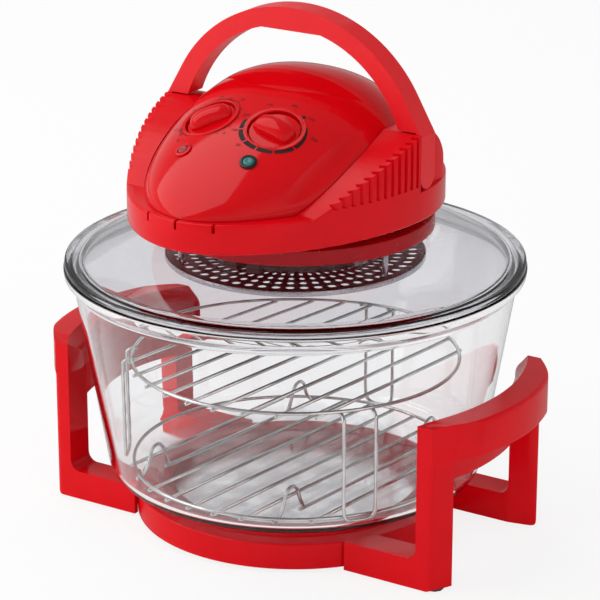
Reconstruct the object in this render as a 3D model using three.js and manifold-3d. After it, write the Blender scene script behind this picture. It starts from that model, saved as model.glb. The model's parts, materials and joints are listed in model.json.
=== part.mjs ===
import * as THREE from 'three';
import { mergeVertices } from 'three/addons/utils/BufferGeometryUtils.js';
import Module from 'manifold-3d';

// Halogen oven: a glass bowl in a plastic stand, two wire racks, and a lift-off glass lid that
// carries the motor head. Millimetres, +Z up, origin on the table under the middle of the bowl,
// control panel towards -Y.

// Clearances and shared sheet thicknesses
const fitGap = 0.3;
const runningGap = 0.6;
const cutOverrun = 1;
const mouldWall = 2.5;
const sheetSteel = 1;

// Widths of the glass bowl
const bowlSideRadius = 162.8;
const bowlWallLean = 33.8;
const bowlHeelRadius = bowlSideRadius - bowlWallLean;
const bowlHeelWidth = 31;
const bowlFloorRadius = bowlHeelRadius - bowlHeelWidth;

// Stand ring under the bowl
const ringInset = 6;
const ringInnerRadius = bowlFloorRadius - ringInset;
const ringWidth = 27;
const ringRadius = ringInnerRadius + ringWidth;
const ringBottom = 2.4;
const ringTop = 22;
const ringSeatRise = 1.7;
const ringSeatTop = ringTop + ringSeatRise;
const ringSeatWidth = 14;
const ringEdge = 1.5;
const standScrewHeight = 12;

// Heights, wall and rim of the glass bowl
const bowlBottom = ringSeatTop + fitGap;
const bowlHeelRise = 11.5;
const bowlHeelHeight = bowlBottom + bowlHeelRise;
const bowlCornerRadius = 13;
const bowlDepth = 160.5;
const bowlSideTop = bowlBottom + bowlDepth;
const bowlLeanShare = 0.16;
const bowlGlass = 4.8;
const rimFlare = 7.2;
const rimRadius = bowlSideRadius + rimFlare;
const rimRise = 7;
const rimBottom = bowlSideTop + rimRise;
const rimThickness = 5;
const rimTop = rimBottom + rimThickness;

// Side frames of the stand: two legs, two foot bars and the curved grip between them
const frameOverhang = 23.5;
const frameReach = rimRadius + frameOverhang;
const footProud = 1.2;
const barTop = 23.5;
const legNear = 57;
const legFar = 80;
const legWidth = 42.5;
const legInner = frameReach - legWidth;
const legFillet = 8;
const legSplayWidth = 10;
const gripCurveRadius = 160;
const gripCurveCentre = frameReach - gripCurveRadius;
const legStepIn = 8;
const legCurveRadius = gripCurveRadius - legStepIn;
const gripBottom = 100;
const gripHeight = 27;
const gripTop = gripBottom + gripHeight;
const gripEdge = 2.5;
const gripClearance = 0.2;
const gripInnerRadius = bowlSideRadius + gripClearance;
const gripInnerFlare = 9;
const gripInnerTop = gripInnerRadius + gripInnerFlare;
const gripInnerRise = 15;
const gripInnerHeight = gripBottom + gripInnerRise;
const gripEndDrop = 2;
const gripEndLength = 11;
const gripEndRound = 15;
const skirtHeight = 10;
const skirtBottom = gripBottom - skirtHeight;
const skirtWidth = 8;

// Feet and stand screws
const footRadius = 7;
const footRecess = 2;
const footInset = 9;
const footReach = legInner + footInset;
const screwRadius = 2;
const screwHeadRadius = 4;
const screwHeadHeight = 2.5;
const screwLength = 16;

// Wire racks
const wireRadius = 1.4;
const rackClearance = 7.5;
const rackRadius = bowlHeelRadius - rackClearance;
const rackWireOverhang = 2.5;
const rackWireReach = rackRadius + rackWireOverhang;
const rackTurn = THREE.MathUtils.degToRad(-6);
const lowRackRise = 17.4;
const lowRackHeight = bowlBottom + lowRackRise;
const lowRackSpacing = 21.2;
const humpLength = 42;
const humpHeight = 21;
const highRackRise = 98.4;
const highRackHeight = bowlBottom + highRackRise;
const highRackSpacing = 22;
const rackLegBulge = 6;
const rackLegRadius = rackRadius + rackLegBulge;
const rackLegRise = 18.1;
const rackLegFoot = bowlBottom + rackLegRise;
const rackLegWidth = 24;

// Glass lid and what clamps it
const lidEdgeStep = 1;
const lidRadius = rimRadius - lidEdgeStep;
const lidGlass = 4.6;
const lidFlangeThickness = 5.5;
const lidFlangeTop = rimTop + lidFlangeThickness;
const lidFlangeWidth = 11;
const lidShoulderRadius = lidRadius - lidFlangeWidth;
const lidHoleRadius = 92;
const lidRise = 28;
const lidNeckTop = lidFlangeTop + lidRise;
const gasketWidth = 8;
const gasketThickness = 1.6;
const neckFlange = 10;
const neckRadius = lidHoleRadius + neckFlange;
const neckHeight = 14;
const neckTop = lidNeckTop + neckHeight;

// Lower housing: band, deck and grooved shoulders
const bandStandoff = 3;
const bandBottom = neckTop + bandStandoff;
const bandHeight = 21;
const bandTop = bandBottom + bandHeight;
const bandSide = 109;
const bandFront = 153;
const bandFrontPower = 1.85;
const roundPower = 2;
const shoulderSlopeShare = 0.3;
const shoulderCurveShare = 0.0016 * bandSide;
const grooveCount = 12;
const grooveWidth = 3.1;
const grooveDepth = 1.6;
const grooveRise = 4;
const grooveBottom = bandTop + grooveRise;
const grooveFirst = 85;
const grooveLast = 11;
const slotWidth = 2.2;
const slotHeight = 6;
const slotSpacing = 27;
const ventWidth = 2.4;
const ventLength = 14;
const ventCount = 12;
const floorHoleRadius = 18;
const spigotInset = 4;
const spigotRadius = lidHoleRadius - spigotInset;

// Carrying handle and its pivot
const pivotY = 3;
const pivotRise = 10;
const pivotHeight = bandTop + pivotRise;
const hubRadius = 32;
const hubPocketDepth = 5.4;
const hubOuter = bandSide - hubPocketDepth;
const hubWidth = 15.6;
const hubInner = hubOuter - hubWidth;
const shoulderStep = 0.5;
const shoulderTop = pivotHeight + hubRadius - shoulderStep;
const handleStep = 0.1;
const handleRadius = bandSide - handleStep;
const handleWall = 13.6;
const handleInnerRadius = handleRadius - handleWall;
const handleGripWall = 16.9;
const handleGripRadius = handleRadius - handleGripWall;
const handleDepth = 19;
const handleTangent = THREE.MathUtils.degToRad(30);
const stubRadius = 4;
const stubInset = 5;
const stubInner = hubInner + stubInset;
const camRadius = 6;
const clipRadius = 6.5;
const clipThickness = 1;

// Top cover
const coverStep = 19;
const coverSide = bandSide - coverStep;
const coverNoseStep = 5;
const coverFront = bandFront - coverNoseStep;
const coverTailStep = 17;
const coverRear = bandSide - coverTailStep;
const coverMiddle = 4;
const coverHeight = 73.5;
const coverTop = bandTop + coverHeight;
const coverFrontPower = 1.355;
const coverCrossPower = 2.2;
const scoopDepth = 5;
const scoopForward = 24;
const scoopLength = 30;
const scoopHalfWidth = 74;
const scoopBend = 16;

// Controls on the panel
const controlSpacing = 27;
const knobForward = 69.4;
const lensForward = 102.5;
const knobRadius = 18.3;
const knobHeight = 5;
const knobBevel = 1.6;
const wellClearance = 1.1;
const wellRadius = knobRadius + wellClearance;
const wellDepth = 5.1;
const cupDrop = 3.2;
const gripBarWidth = 11;
const gripBarHeight = 6.4;
const spindleRadius = 3;
const spindleLength = 17;
const timerWidth = 40;
const timerDepth = 20;
const thermostatRadius = 14;
const thermostatDepth = 16;
const lensRadius = 6.2;
const lensHeight = 2.2;
const lampRadius = 4;
const lampLength = 15;

// Heating and fan unit
const guardDrop = 27;
const guardFloor = lidNeckTop - guardDrop;
const shieldRise = 21;
const shieldHeight = guardFloor + shieldRise;
const shieldHoleRadius = 6;
const shaftRadius = 3;
const shaftRise = 9;
const shaftBottom = guardFloor + shaftRise;
const fanBladeCount = 8;
const convectionFanRadius = 46;
const convectionFanRise = 11;
const convectionFanHeight = guardFloor + convectionFanRise;
const convectionBladeHeight = 8;
const coolingFanRadius = 36;
const coolingBladeHeight = 8;
const fanHubRadius = 8;
const lampRingRadius = 66;
const lampTubeRadius = 5;
const lampRingRise = 10;
const lampRingHeight = guardFloor + lampRingRise;
const lampRingGap = THREE.MathUtils.degToRad(26);
const lampClipTurn = THREE.MathUtils.degToRad(35);
const capLength = 10;
const guardFlare = 2;
const guardRadius = lidHoleRadius + guardFlare;
const guardEdge = 4;
const guardFloorRadius = guardRadius - guardEdge;
const guardHeight = 9;
const guardTop = guardFloor + guardHeight;
const guardHoleRadius = 3;
const guardHoleCount = 38;
const guardHoleCircle = 80;
const guardRowSpacing = 10.5;
const studInset = 6;
const studCircle = lidHoleRadius - studInset;
const studRadius = 2.2;
const studNutHeight = 2.4;
const studNutRadius = 4.2;

// Motor
const statorWidth = 60;
const statorDepth = 52;
const statorHeight = 20;
const statorRise = 2;
const statorBottom = bandTop + statorRise;
const statorBoreRadius = 14;
const rotorRadius = 13;
const bearingWidth = 12;
const bearingThickness = 2;
const standoffRadius = 3;
const coilWidth = 22;
const coilDepth = 12;
const coolingFanRise = 7;
const coolingFanHeight = statorBottom + statorHeight + coolingFanRise;
const shaftOverhang = 11;
const shaftTop = coolingFanHeight + shaftOverhang;

// Mains parts at the rear
const inletWidth = 28;
const inletHeight = 15;
const inletDepth = 20;
const inletLip = 1.5;
const pinRadius = 1.6;
const pinLength = 10;
const pinSpacing = 7;
const terminalWidth = 30;
const terminalDepth = 12;
const terminalHeight = 9;
const terminalSetback = 68;
const switchDepth = 16;
const switchWidth = 5;
const switchHeight = 10;
const plungerRadius = 1.6;
const plungerLength = 5;

// Places along a run, as shares of it
const cornerShares = [0, 0.25, 0.5, 0.75, 1];
const wallShares = [0.5, 1];
const heelRiseShare = 0.4;

// Facet counts
const wideSides = 40;
const midSides = 24;
const smallSides = 10;
const hexSides = 6;
const liningSides = 28;
const wireSides = 6;

// Finishes
const redGloss = { color: 0xd81e2c, roughness: 0.22, metalness: 0 };
const redSatin = { color: 0xdc2230, roughness: 0.38, metalness: 0 };
const clearGlass = { color: 0xe4e6e8, roughness: 0.03, metalness: 0, transparent: true, opacity: 0.3 };
const platedWire = { color: 0xb9b9bb, roughness: 0.25, metalness: 1 };
const darkSteel = { color: 0x55534f, roughness: 0.45, metalness: 1 };
const brightSteel = { color: 0xc8c8c6, roughness: 0.3, metalness: 1 };
const blackPlastic = { color: 0x1c1c1e, roughness: 0.5, metalness: 0 };
const greyRubber = { color: 0x3a3a3c, roughness: 0.8, metalness: 0 };
const siliconeGrey = { color: 0x8c8a88, roughness: 0.6, metalness: 0 };
const redLens = { color: 0xb02a34, roughness: 0.15, metalness: 0 };
const greenLens = { color: 0x1f8a80, roughness: 0.15, metalness: 0 };
const whiteCeramic = { color: 0xe8e4da, roughness: 0.7, metalness: 0 };
const frostQuartz = { color: 0xf2eee6, roughness: 0.2, metalness: 0 };
const copperWinding = { color: 0xa8602e, roughness: 0.4, metalness: 1 };
const brassContact = { color: 0xc9a24a, roughness: 0.3, metalness: 1 };
const castAluminium = { color: 0xb4b4b2, roughness: 0.4, metalness: 1 };

const wasm = await Module();
wasm.setup();

// Closed geometry to manifold solid, with its faces turned outwards
function solid(geometry) {
  const bare = geometry.clone();
  bare.deleteAttribute('normal');
  bare.deleteAttribute('uv');
  const merged = mergeVertices(bare);
  const vertProperties = new Float32Array(merged.attributes.position.array);
  const kept = [];
  const index = merged.index.array;
  for (let i = 0; i < index.length; i += 3) {
    const [a, b, c] = [index[i], index[i + 1], index[i + 2]];
    if (a !== b && b !== c && c !== a) kept.push(a, b, c);
  }
  const corner = (k) => new THREE.Vector3().fromArray(vertProperties, 3 * k);
  let volume = 0;
  for (let i = 0; i < kept.length; i += 3) {
    volume += corner(kept[i]).dot(corner(kept[i + 1]).cross(corner(kept[i + 2])));
  }
  const triVerts = new Uint32Array(volume < 0 ? kept.reverse() : kept);
  return new wasm.Manifold(new wasm.Mesh({ numProp: 3, vertProperties, triVerts }));
}

function union(solids) {
  return solids.reduce((whole, next) => whole.add(next));
}

function moved(geometry, x, y, z) {
  return geometry.translate(x, y, z);
}

// Solid of revolution about Z from [radius, height] pairs
function turned(pairs, sides = wideSides, x = 0) {
  const profile = pairs.map(([radius, height]) => new THREE.Vector2(radius, height));
  return moved(new THREE.LatheGeometry(profile, sides).rotateX(Math.PI / 2), x, 0, 0);
}

// Revolution of a section that does not touch the axis
function turnedRing(pairs, sides = wideSides, x = 0) {
  return turned([...pairs, pairs[0]], sides, x);
}

function shapeOf(pairs) {
  return new THREE.Shape(pairs.map(([x, y]) => new THREE.Vector2(x, y)));
}

// Plan outline raised from one height to another
function raised(pairs, bottom, top) {
  const geometry = new THREE.ExtrudeGeometry(shapeOf(pairs), { depth: top - bottom, bevelEnabled: false });
  return moved(geometry, 0, 0, bottom);
}

// Side outline of [y, z] pairs carried along X
function alongX(pairs, from, to) {
  const geometry = new THREE.ExtrudeGeometry(shapeOf(pairs), { depth: to - from, bevelEnabled: false });
  return moved(geometry.rotateX(Math.PI / 2).rotateZ(Math.PI / 2), from, 0, 0);
}

// Front outline of [x, z] pairs carried along Y
function alongY(pairs, from, to) {
  const geometry = new THREE.ExtrudeGeometry(shapeOf(pairs), { depth: to - from, bevelEnabled: false });
  return moved(geometry.rotateX(Math.PI / 2), 0, to, 0);
}

function block(x0, x1, y0, y1, z0, z1) {
  const geometry = new THREE.BoxGeometry(x1 - x0, y1 - y0, z1 - z0);
  return moved(geometry, (x0 + x1) / 2, (y0 + y1) / 2, (z0 + z1) / 2);
}

// Upright cylinder standing on its given height
function post(radius, height, x, y, z, sides = smallSides) {
  const geometry = new THREE.CylinderGeometry(radius, radius, height, sides).rotateX(Math.PI / 2);
  return moved(geometry, x, y, z + height / 2);
}

// Cylinder lying along X
function pinAlongX(radius, from, to, y, z, sides = smallSides) {
  const geometry = new THREE.CylinderGeometry(radius, radius, to - from, sides).rotateZ(Math.PI / 2);
  return moved(geometry, (from + to) / 2, y, z);
}

// Cylinder lying along Y
function pinAlongY(radius, from, to, x, z, sides = smallSides) {
  const geometry = new THREE.CylinderGeometry(radius, radius, to - from, sides);
  return moved(geometry, x, (from + to) / 2, z);
}

function circleShape(radius, sides) {
  const points = [];
  for (let i = 0; i < sides; i += 1) {
    const angle = (2 * Math.PI * i) / sides;
    points.push(new THREE.Vector2(radius * Math.cos(angle), radius * Math.sin(angle)));
  }
  return new THREE.Shape(points);
}

// Round bar along a curve
function bentBar(points, radius, steps, sides = wireSides) {
  const path = new THREE.CatmullRomCurve3(points, false, 'centripetal');
  const options = { steps, extrudePath: path, bevelEnabled: false };
  return new THREE.ExtrudeGeometry(circleShape(radius, sides), options);
}

const mirrorAcross = (part) => part.mirror([1, 0, 0]);
const polar = (radius, angle) => [radius * Math.cos(angle), radius * Math.sin(angle)];

const mesh = (name, part, finish) => {
  const { vertProperties, triVerts } = part.getMesh();
  const geometry = new THREE.BufferGeometry();
  geometry.setAttribute('position', new THREE.BufferAttribute(new Float32Array(vertProperties), 3));
  geometry.setIndex(new THREE.BufferAttribute(new Uint32Array(triVerts), 1));
  geometry.computeVertexNormals();
  const piece = new THREE.Mesh(geometry, new THREE.MeshStandardMaterial(finish));
  piece.name = name;
  return piece;
};

const standGroup = new THREE.Group();
const bowlGroup = new THREE.Group();
const headGroup = new THREE.Group();

// Stand ring: an upside-down channel whose raised inner edge carries the bowl
const screwAngle = Math.asin((legNear + legFar) / 2 / ringRadius);

function radialCylinder(radius, from, to, angle, height) {
  const geometry = new THREE.CylinderGeometry(radius, radius, to - from, smallSides).rotateZ(Math.PI / 2);
  return moved(geometry, (from + to) / 2, 0, height).rotateZ(angle);
}

function standRing() {
  const seatOuter = ringInnerRadius + ringSeatWidth;
  const ring = solid(turnedRing([
    [ringRadius, ringBottom],
    [ringRadius, ringTop - ringEdge],
    [ringRadius - ringEdge, ringTop],
    [seatOuter, ringTop],
    [seatOuter - ringEdge, ringSeatTop],
    [ringInnerRadius, ringSeatTop],
    [ringInnerRadius, ringBottom],
    [ringInnerRadius + mouldWall, ringBottom],
    [ringInnerRadius + mouldWall, ringTop - mouldWall],
    [ringRadius - mouldWall, ringTop - mouldWall],
    [ringRadius - mouldWall, ringBottom],
  ]));
  const holes = screwAngles().map((angle) => solid(radialCylinder(
    screwRadius + fitGap,
    ringRadius - mouldWall - cutOverrun,
    ringRadius + cutOverrun,
    angle,
    standScrewHeight,
  )));
  return ring.subtract(union(holes));
}

function screwAngles() {
  return [screwAngle, Math.PI - screwAngle, Math.PI + screwAngle, -screwAngle];
}

function standScrew(angle) {
  const headFace = ringRadius - mouldWall - 3 * fitGap;
  const shank = radialCylinder(screwRadius, headFace, headFace + screwLength, angle, standScrewHeight);
  const head = radialCylinder(screwHeadRadius, headFace - screwHeadHeight, headFace, angle, standScrewHeight);
  return solid(shank).add(solid(head));
}

// Plan of the grip: outer corners rounded, front end kept flush with the leg below it
function gripPlan(outside) {
  const cornerY = legFar - gripEndRound;
  const cornerX = gripCurveCentre + Math.sqrt((gripCurveRadius - gripEndRound) ** 2 - cornerY ** 2);
  const start = Math.atan2(cornerY, cornerX - gripCurveCentre);
  const corner = cornerShares.map((share) => {
    const [x, y] = polar(gripEndRound, start + share * (Math.PI / 2 - start));
    return [cornerX + x, cornerY + y];
  });
  const rear = [[outside, 0], [outside, cornerY], ...corner];
  const front = rear.slice(1).reverse().map(([x, y]) => [x, -y]);
  const inside = gripInnerRadius / 2;
  return [...rear, [inside, legFar], [inside, -legNear], [legInner, -legNear], [legInner, -legFar], ...front];
}

// Right-hand side frame; the left one is its mirror image
function sideFrame() {
  const ringFace = ringRadius + fitGap;
  const legTop = gripBottom + cutOverrun;
  const outside = frameReach;
  const legOutline = [
    [ringInnerRadius, footProud],
    [outside, footProud],
    [outside, legTop],
    [legInner, legTop],
    [legInner, barTop + legFillet],
    [legInner - legFillet * (1 - Math.SQRT1_2), barTop + legFillet * (1 - Math.SQRT1_2)],
    [legInner - legFillet, barTop],
    [ringInnerRadius, barTop],
  ];
  const outerCurve = solid(turned([
    [0, footProud],
    [legCurveRadius - gripEdge, footProud],
    [legCurveRadius, footProud + gripEdge],
    [legCurveRadius, legTop],
    [0, legTop],
  ], wideSides, gripCurveCentre));
  const legs = union([
    solid(alongY(legOutline, legNear, legFar)),
    solid(alongY(legOutline, -legFar, -legNear)),
  ]).intersect(outerCurve).subtract(solid(turned([
    [0, footProud - cutOverrun],
    [ringFace, footProud - cutOverrun],
    [ringFace, barTop + cutOverrun],
    [0, barTop + cutOverrun],
  ]))).subtract(union([1, -1].map((side) => solid(raised([
    [legInner, side * (legNear - cutOverrun)],
    [outside, side * (legNear - cutOverrun)],
    [outside, side * (legNear + legSplayWidth)],
    [legInner, side * legNear],
  ], footProud - cutOverrun, legTop + cutOverrun)))));

  const gripSide = [
    [-legFar, gripBottom],
    [legFar, gripBottom],
    [legFar, gripTop],
    [gripEndLength - legFar, gripTop],
    [-legFar, gripTop - gripEndDrop],
  ];
  const gripBlock = solid(turned([
    [0, gripBottom],
    [gripCurveRadius - gripEdge, gripBottom],
    [gripCurveRadius, gripTop - gripEdge],
    [gripCurveRadius - gripEdge, gripTop],
    [0, gripTop],
  ], wideSides, gripCurveCentre))
    .intersect(solid(alongX(gripSide, gripInnerRadius / 2, outside)))
    .intersect(solid(raised(gripPlan(outside), gripBottom - cutOverrun, gripTop + cutOverrun)));
  const bowlSide = solid(turned([
    [0, gripBottom - cutOverrun],
    [gripInnerRadius, gripBottom - cutOverrun],
    [gripInnerRadius, gripInnerHeight],
    [gripInnerTop, gripTop],
    [gripInnerTop, gripTop + cutOverrun],
    [0, gripTop + cutOverrun],
  ]));
  const skirt = solid(turnedRing([
    [gripInnerRadius, skirtBottom],
    [gripInnerRadius + skirtWidth, skirtBottom],
    [gripInnerRadius + skirtWidth, gripBottom + cutOverrun],
    [gripInnerRadius, gripBottom + cutOverrun],
  ])).intersect(solid(block(
    gripInnerRadius / 2, outside, -legNear - cutOverrun, legNear + cutOverrun, skirtBottom, gripTop,
  )));
  const frame = union([legs, gripBlock.subtract(bowlSide), skirt]);

  const cuts = [legNear, -legNear].map((side) => {
    const middle = Math.sign(side) * (legNear + legFar) / 2;
    const recess = footRecess + cutOverrun;
    return solid(post(footRadius + fitGap, recess, footReach, middle, footProud - cutOverrun));
  });
  const screwEnd = ringRadius + screwLength;
  [screwAngle, -screwAngle].forEach((angle) => {
    const bore = radialCylinder(screwRadius + fitGap, ringRadius, screwEnd, angle, standScrewHeight);
    cuts.push(solid(bore));
  });
  return frame.subtract(union(cuts));
}

function rubberFoot(sideX, sideY) {
  const middle = (legNear + legFar) / 2;
  return solid(post(footRadius, footProud + footRecess - fitGap, sideX * footReach, sideY * middle, 0));
}

const rightFrame = sideFrame();
standGroup.add(
  mesh('stand_ring', standRing(), redSatin),
  mesh('right_side_frame', rightFrame, redSatin),
  mesh('left_side_frame', mirrorAcross(rightFrame), redSatin),
);

const corners = [['rear_right', 1, 1], ['rear_left', -1, 1], ['front_left', -1, -1], ['front_right', 1, -1]];
corners.forEach(([corner, sideX, sideY], i) => {
  standGroup.add(
    mesh(`${corner}_foot`, rubberFoot(sideX, sideY), greyRubber),
    mesh(`${corner}_screw`, standScrew(screwAngles()[i]), brightSteel),
  );
});

// Glass bowl: shallow dished base, tight heel, leaning wall and flared rim
function bowlSkin() {
  const lean = Math.atan(bowlLeanShare);
  const centreRadius = bowlHeelRadius - bowlCornerRadius * Math.sin(lean);
  const centreHeight = bowlHeelHeight + bowlCornerRadius;
  const skin = [
    [0, bowlBottom],
    [bowlFloorRadius, bowlBottom],
    [(bowlFloorRadius + bowlHeelRadius) / 2, bowlBottom + (bowlHeelHeight - bowlBottom) * heelRiseShare],
  ];
  cornerShares.forEach((share) => {
    const angle = -Math.PI / 2 + share * (Math.PI / 2 - lean);
    const [x, z] = polar(bowlCornerRadius, angle);
    skin.push([centreRadius + x, centreHeight + z]);
  });
  wallShares.forEach((share) => {
    const [startRadius, startHeight] = [
      centreRadius + bowlCornerRadius * Math.cos(lean),
      centreHeight - bowlCornerRadius * Math.sin(lean),
    ];
    skin.push([
      startRadius + (bowlSideRadius - startRadius) * share,
      startHeight + (bowlSideTop - startHeight) * share,
    ]);
  });
  return skin;
}

// The same line moved sideways by a wall thickness, towards the axis side of an upward run
function inset(line, distance) {
  return line.map(([radius, height], i) => {
    const [r0, z0] = line[Math.max(i - 1, 0)];
    const [r1, z1] = line[Math.min(i + 1, line.length - 1)];
    const run = Math.hypot(r1 - r0, z1 - z0);
    const shift = radius === 0 ? 0 : (-distance * (z1 - z0)) / run;
    return [radius + shift, height + (distance * (radius === 0 ? run : r1 - r0)) / run];
  });
}

function glassBowl() {
  const outer = bowlSkin();
  const inner = inset(outer, bowlGlass);
  const innerTop = inner[inner.length - 1];
  return solid(turned([
    ...outer,
    [(bowlSideRadius + rimRadius) / 2, (bowlSideTop + rimBottom) / 2 + fitGap],
    [rimRadius - fitGap, rimBottom],
    [rimRadius, rimBottom + fitGap],
    [rimRadius, rimTop - fitGap],
    [rimRadius - fitGap, rimTop],
    [innerTop[0] + bowlGlass / 2, rimTop],
    ...inner.reverse(),
  ]));
}

bowlGroup.add(mesh('glass_bowl', glassBowl(), clearGlass));

// Wire racks: parallel wires welded under a ring
function alongWire(offset, along, height, turn) {
  const across = new THREE.Vector2(offset, along).rotateAround(new THREE.Vector2(), turn);
  return new THREE.Vector3(across.x, across.y, height);
}

function straightWire(from, to) {
  const length = from.distanceTo(to);
  const geometry = new THREE.CylinderGeometry(wireRadius, wireRadius, length, wireSides);
  const direction = to.clone().sub(from).normalize();
  const turn = new THREE.Quaternion().setFromUnitVectors(new THREE.Vector3(0, 1, 0), direction);
  const middle = from.clone().add(to).multiplyScalar(1 / 2);
  return solid(moved(geometry.applyQuaternion(turn), middle.x, middle.y, middle.z));
}

function rackRing(height) {
  const ring = new THREE.TorusGeometry(rackRadius, wireRadius, wireSides, wideSides);
  return solid(moved(ring, 0, 0, height + wireRadius * weldShare));
}

const weldShare = 1.7;
const wireCountEachSide = 4;
const humpWireIndex = 3;
const humpShares = [
  [0, 0], [0.16, 0.06], [0.31, 0.42], [0.38, 0.84], [0.52, 1],
  [0.66, 0.86], [0.76, 0.4], [0.86, 0.04], [1, 0],
];

function rackWire(index, pitch, height, humps) {
  const offset = index * pitch;
  const half = Math.sqrt(rackWireReach ** 2 - offset ** 2);
  const [near, far] = [-half, half].map((along) => alongWire(offset, along, height, rackTurn));
  if (!humps) return straightWire(near, far);
  const inner = half - humpLength;
  const overlap = wireRadius / 2;
  const middle = straightWire(
    alongWire(offset, -inner - overlap, height, rackTurn),
    alongWire(offset, inner + overlap, height, rackTurn),
  );
  const ends = [-1, 1].map((side) => {
    const points = humpShares.map(([share, rise]) => alongWire(
      offset, side * (half - share * humpLength), height + rise * humpHeight, rackTurn,
    ));
    return solid(bentBar(points, wireRadius, humpShares.length));
  });
  return union([middle, ...ends]);
}

function rackWires(pitch, height, withHumps) {
  const wires = [];
  for (let index = -wireCountEachSide; index <= wireCountEachSide; index += 1) {
    wires.push(rackWire(index, pitch, height, withHumps && Math.abs(index) === humpWireIndex));
  }
  return wires;
}

const rackLegAngles = [-36.8, 91.4, -150].map(THREE.MathUtils.degToRad);
const legSteps = 16;
const legSideShares = [
  [1, 0, 1.012], [1, 0.35, 1.012], [1, 0.85, 0.98], [1, 1, 0.92], [1, 1, 0.14], [0.6, 1, 0.03], [0, 1, 0],
];

function rackLeg(angle) {
  const inner = rackRadius - 2 * wireRadius;
  const top = highRackHeight;
  const point = ([width, reach, rise], side) => new THREE.Vector3(
    inner + (rackLegRadius - inner) * reach,
    (side * width * rackLegWidth) / 2,
    rackLegFoot + (top - rackLegFoot) * rise,
  ).applyAxisAngle(new THREE.Vector3(0, 0, 1), angle);
  const down = legSideShares.map((row) => point(row, -1));
  const up = legSideShares.slice(0, -1).reverse().map((row) => point(row, 1));
  return solid(bentBar([...down, ...up], wireRadius, legSteps));
}

const lowRack = union([rackRing(lowRackHeight), ...rackWires(lowRackSpacing, lowRackHeight, true)]);
const highRack = union([
  rackRing(highRackHeight),
  ...rackWires(highRackSpacing, highRackHeight, false),
  ...rackLegAngles.map(rackLeg),
]);
bowlGroup.add(mesh('low_rack', lowRack, platedWire), mesh('high_rack', highRack, platedWire));

// Glass lid: flat flange on the bowl rim, domed to a neck round the hole
const lidTopShares = [
  [0.12, 0.13], [0.32, 0.36], [0.55, 0.6], [0.78, 0.84], [1, 1],
];

function glassLid() {
  const flangeBottom = rimTop + fitGap;
  const top = lidTopShares.map(([inward, rise]) => [
    lidShoulderRadius + (lidHoleRadius - lidShoulderRadius) * inward,
    lidFlangeTop + (lidNeckTop - lidFlangeTop) * rise,
  ]);
  const under = top.map(([radius, height]) => [radius, height - lidGlass]);
  return solid(turnedRing([
    [lidRadius, flangeBottom],
    [lidRadius, lidFlangeTop - fitGap],
    [lidRadius - fitGap, lidFlangeTop],
    [lidShoulderRadius, lidFlangeTop],
    ...top,
    ...under.reverse(),
    [lidShoulderRadius - lidGlass, lidFlangeTop - lidGlass],
    [lidShoulderRadius - lidGlass, rimBottom],
    [lidShoulderRadius - fitGap, rimBottom],
    [lidShoulderRadius, flangeBottom],
  ]));
}

const gasketBottom = lidNeckTop + fitGap;
const neckBottom = gasketBottom + gasketThickness + fitGap;

function lidGasket() {
  return solid(turnedRing([
    [lidHoleRadius - fitGap, gasketBottom],
    [lidHoleRadius + gasketWidth, gasketBottom - gasketThickness / 2],
    [lidHoleRadius + gasketWidth, gasketBottom + gasketThickness],
    [lidHoleRadius - fitGap, gasketBottom + gasketThickness],
  ]));
}

// Neck ring between the lid and the head, an open channel on its side
function neckRing() {
  const inner = lidHoleRadius - mouldWall;
  return solid(turnedRing([
    [neckRadius, neckBottom],
    [neckRadius, neckTop],
    [spigotRadius - mouldWall, neckTop],
    [spigotRadius - mouldWall, neckTop - mouldWall],
    [neckRadius - mouldWall, neckTop - mouldWall],
    [neckRadius - mouldWall, neckBottom + mouldWall],
    [inner, neckBottom + mouldWall],
    [inner, neckBottom],
  ]));
}

headGroup.add(
  mesh('glass_lid', glassLid(), clearGlass),
  mesh('lid_gasket', lidGasket(), siliconeGrey),
  mesh('neck_ring', neckRing(), redSatin),
);

// Plan outline: half an ellipse-like nose towards -Y and a round back
function headOutline(side, front, rear, middle, count = wideSides) {
  const points = [];
  for (let i = 0; i < count; i += 1) {
    points.push(outlinePoint((2 * Math.PI * i) / count, side, front, rear, middle));
  }
  return points;
}

function outlinePoint(angle, side, front, rear, middle) {
  const [c, s] = [Math.cos(angle), Math.sin(angle)];
  const power = s < 0 ? bandFrontPower : roundPower;
  const reach = s < 0 ? front + middle : rear - middle;
  const curve = (value) => Math.sign(value) * Math.abs(value) ** (2 / power);
  return [side * curve(c), middle + reach * curve(s)];
}

function bandOutline(insetBy) {
  return headOutline(bandSide - insetBy, bandFront - insetBy, bandSide - insetBy, 0);
}

// Height of the cover over its seat at a place in plan, for a cover drawn in by a wall
function coverRise(x, y, wall) {
  const [side, front, rear] = [coverSide - wall, coverFront - wall, coverRear - wall];
  const top = coverTop - bandTop - wall;
  const forward = y < coverMiddle;
  const reach = forward ? front + coverMiddle : rear - coverMiddle;
  const away = Math.min(Math.abs(y - coverMiddle) / reach, 1);
  const power = forward ? coverFrontPower : roundPower;
  const ridge = top * (1 - away ** power) ** (1 / power);
  const sidePower = forward ? bandFrontPower : roundPower;
  const half = side * (1 - away ** sidePower) ** (1 / sidePower);
  const across = half > 0 ? Math.min(Math.abs(x) / half, 1) : 1;
  const cross = (1 - across ** coverCrossPower) ** (1 / coverCrossPower);
  return ridge * cross - scoop(x, y);
}

// Crescent scoop between the panel and the crown
function scoop(x, y) {
  const side = Math.abs(x) / scoopHalfWidth;
  if (side >= 1) return 0;
  const middle = scoopBend * side ** 2 - scoopForward;
  const half = (scoopLength / 2) * (1 - side ** 2);
  const along = (y - middle) / half;
  if (Math.abs(along) >= 1) return 0;
  return scoopDepth * (1 - side ** 2) * (1 - along ** 2) ** 2;
}

const coverRingShares = [1, 0.98, 0.93, 0.85, 0.75, 0.64, 0.53, 0.42, 0.32, 0.18];

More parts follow.
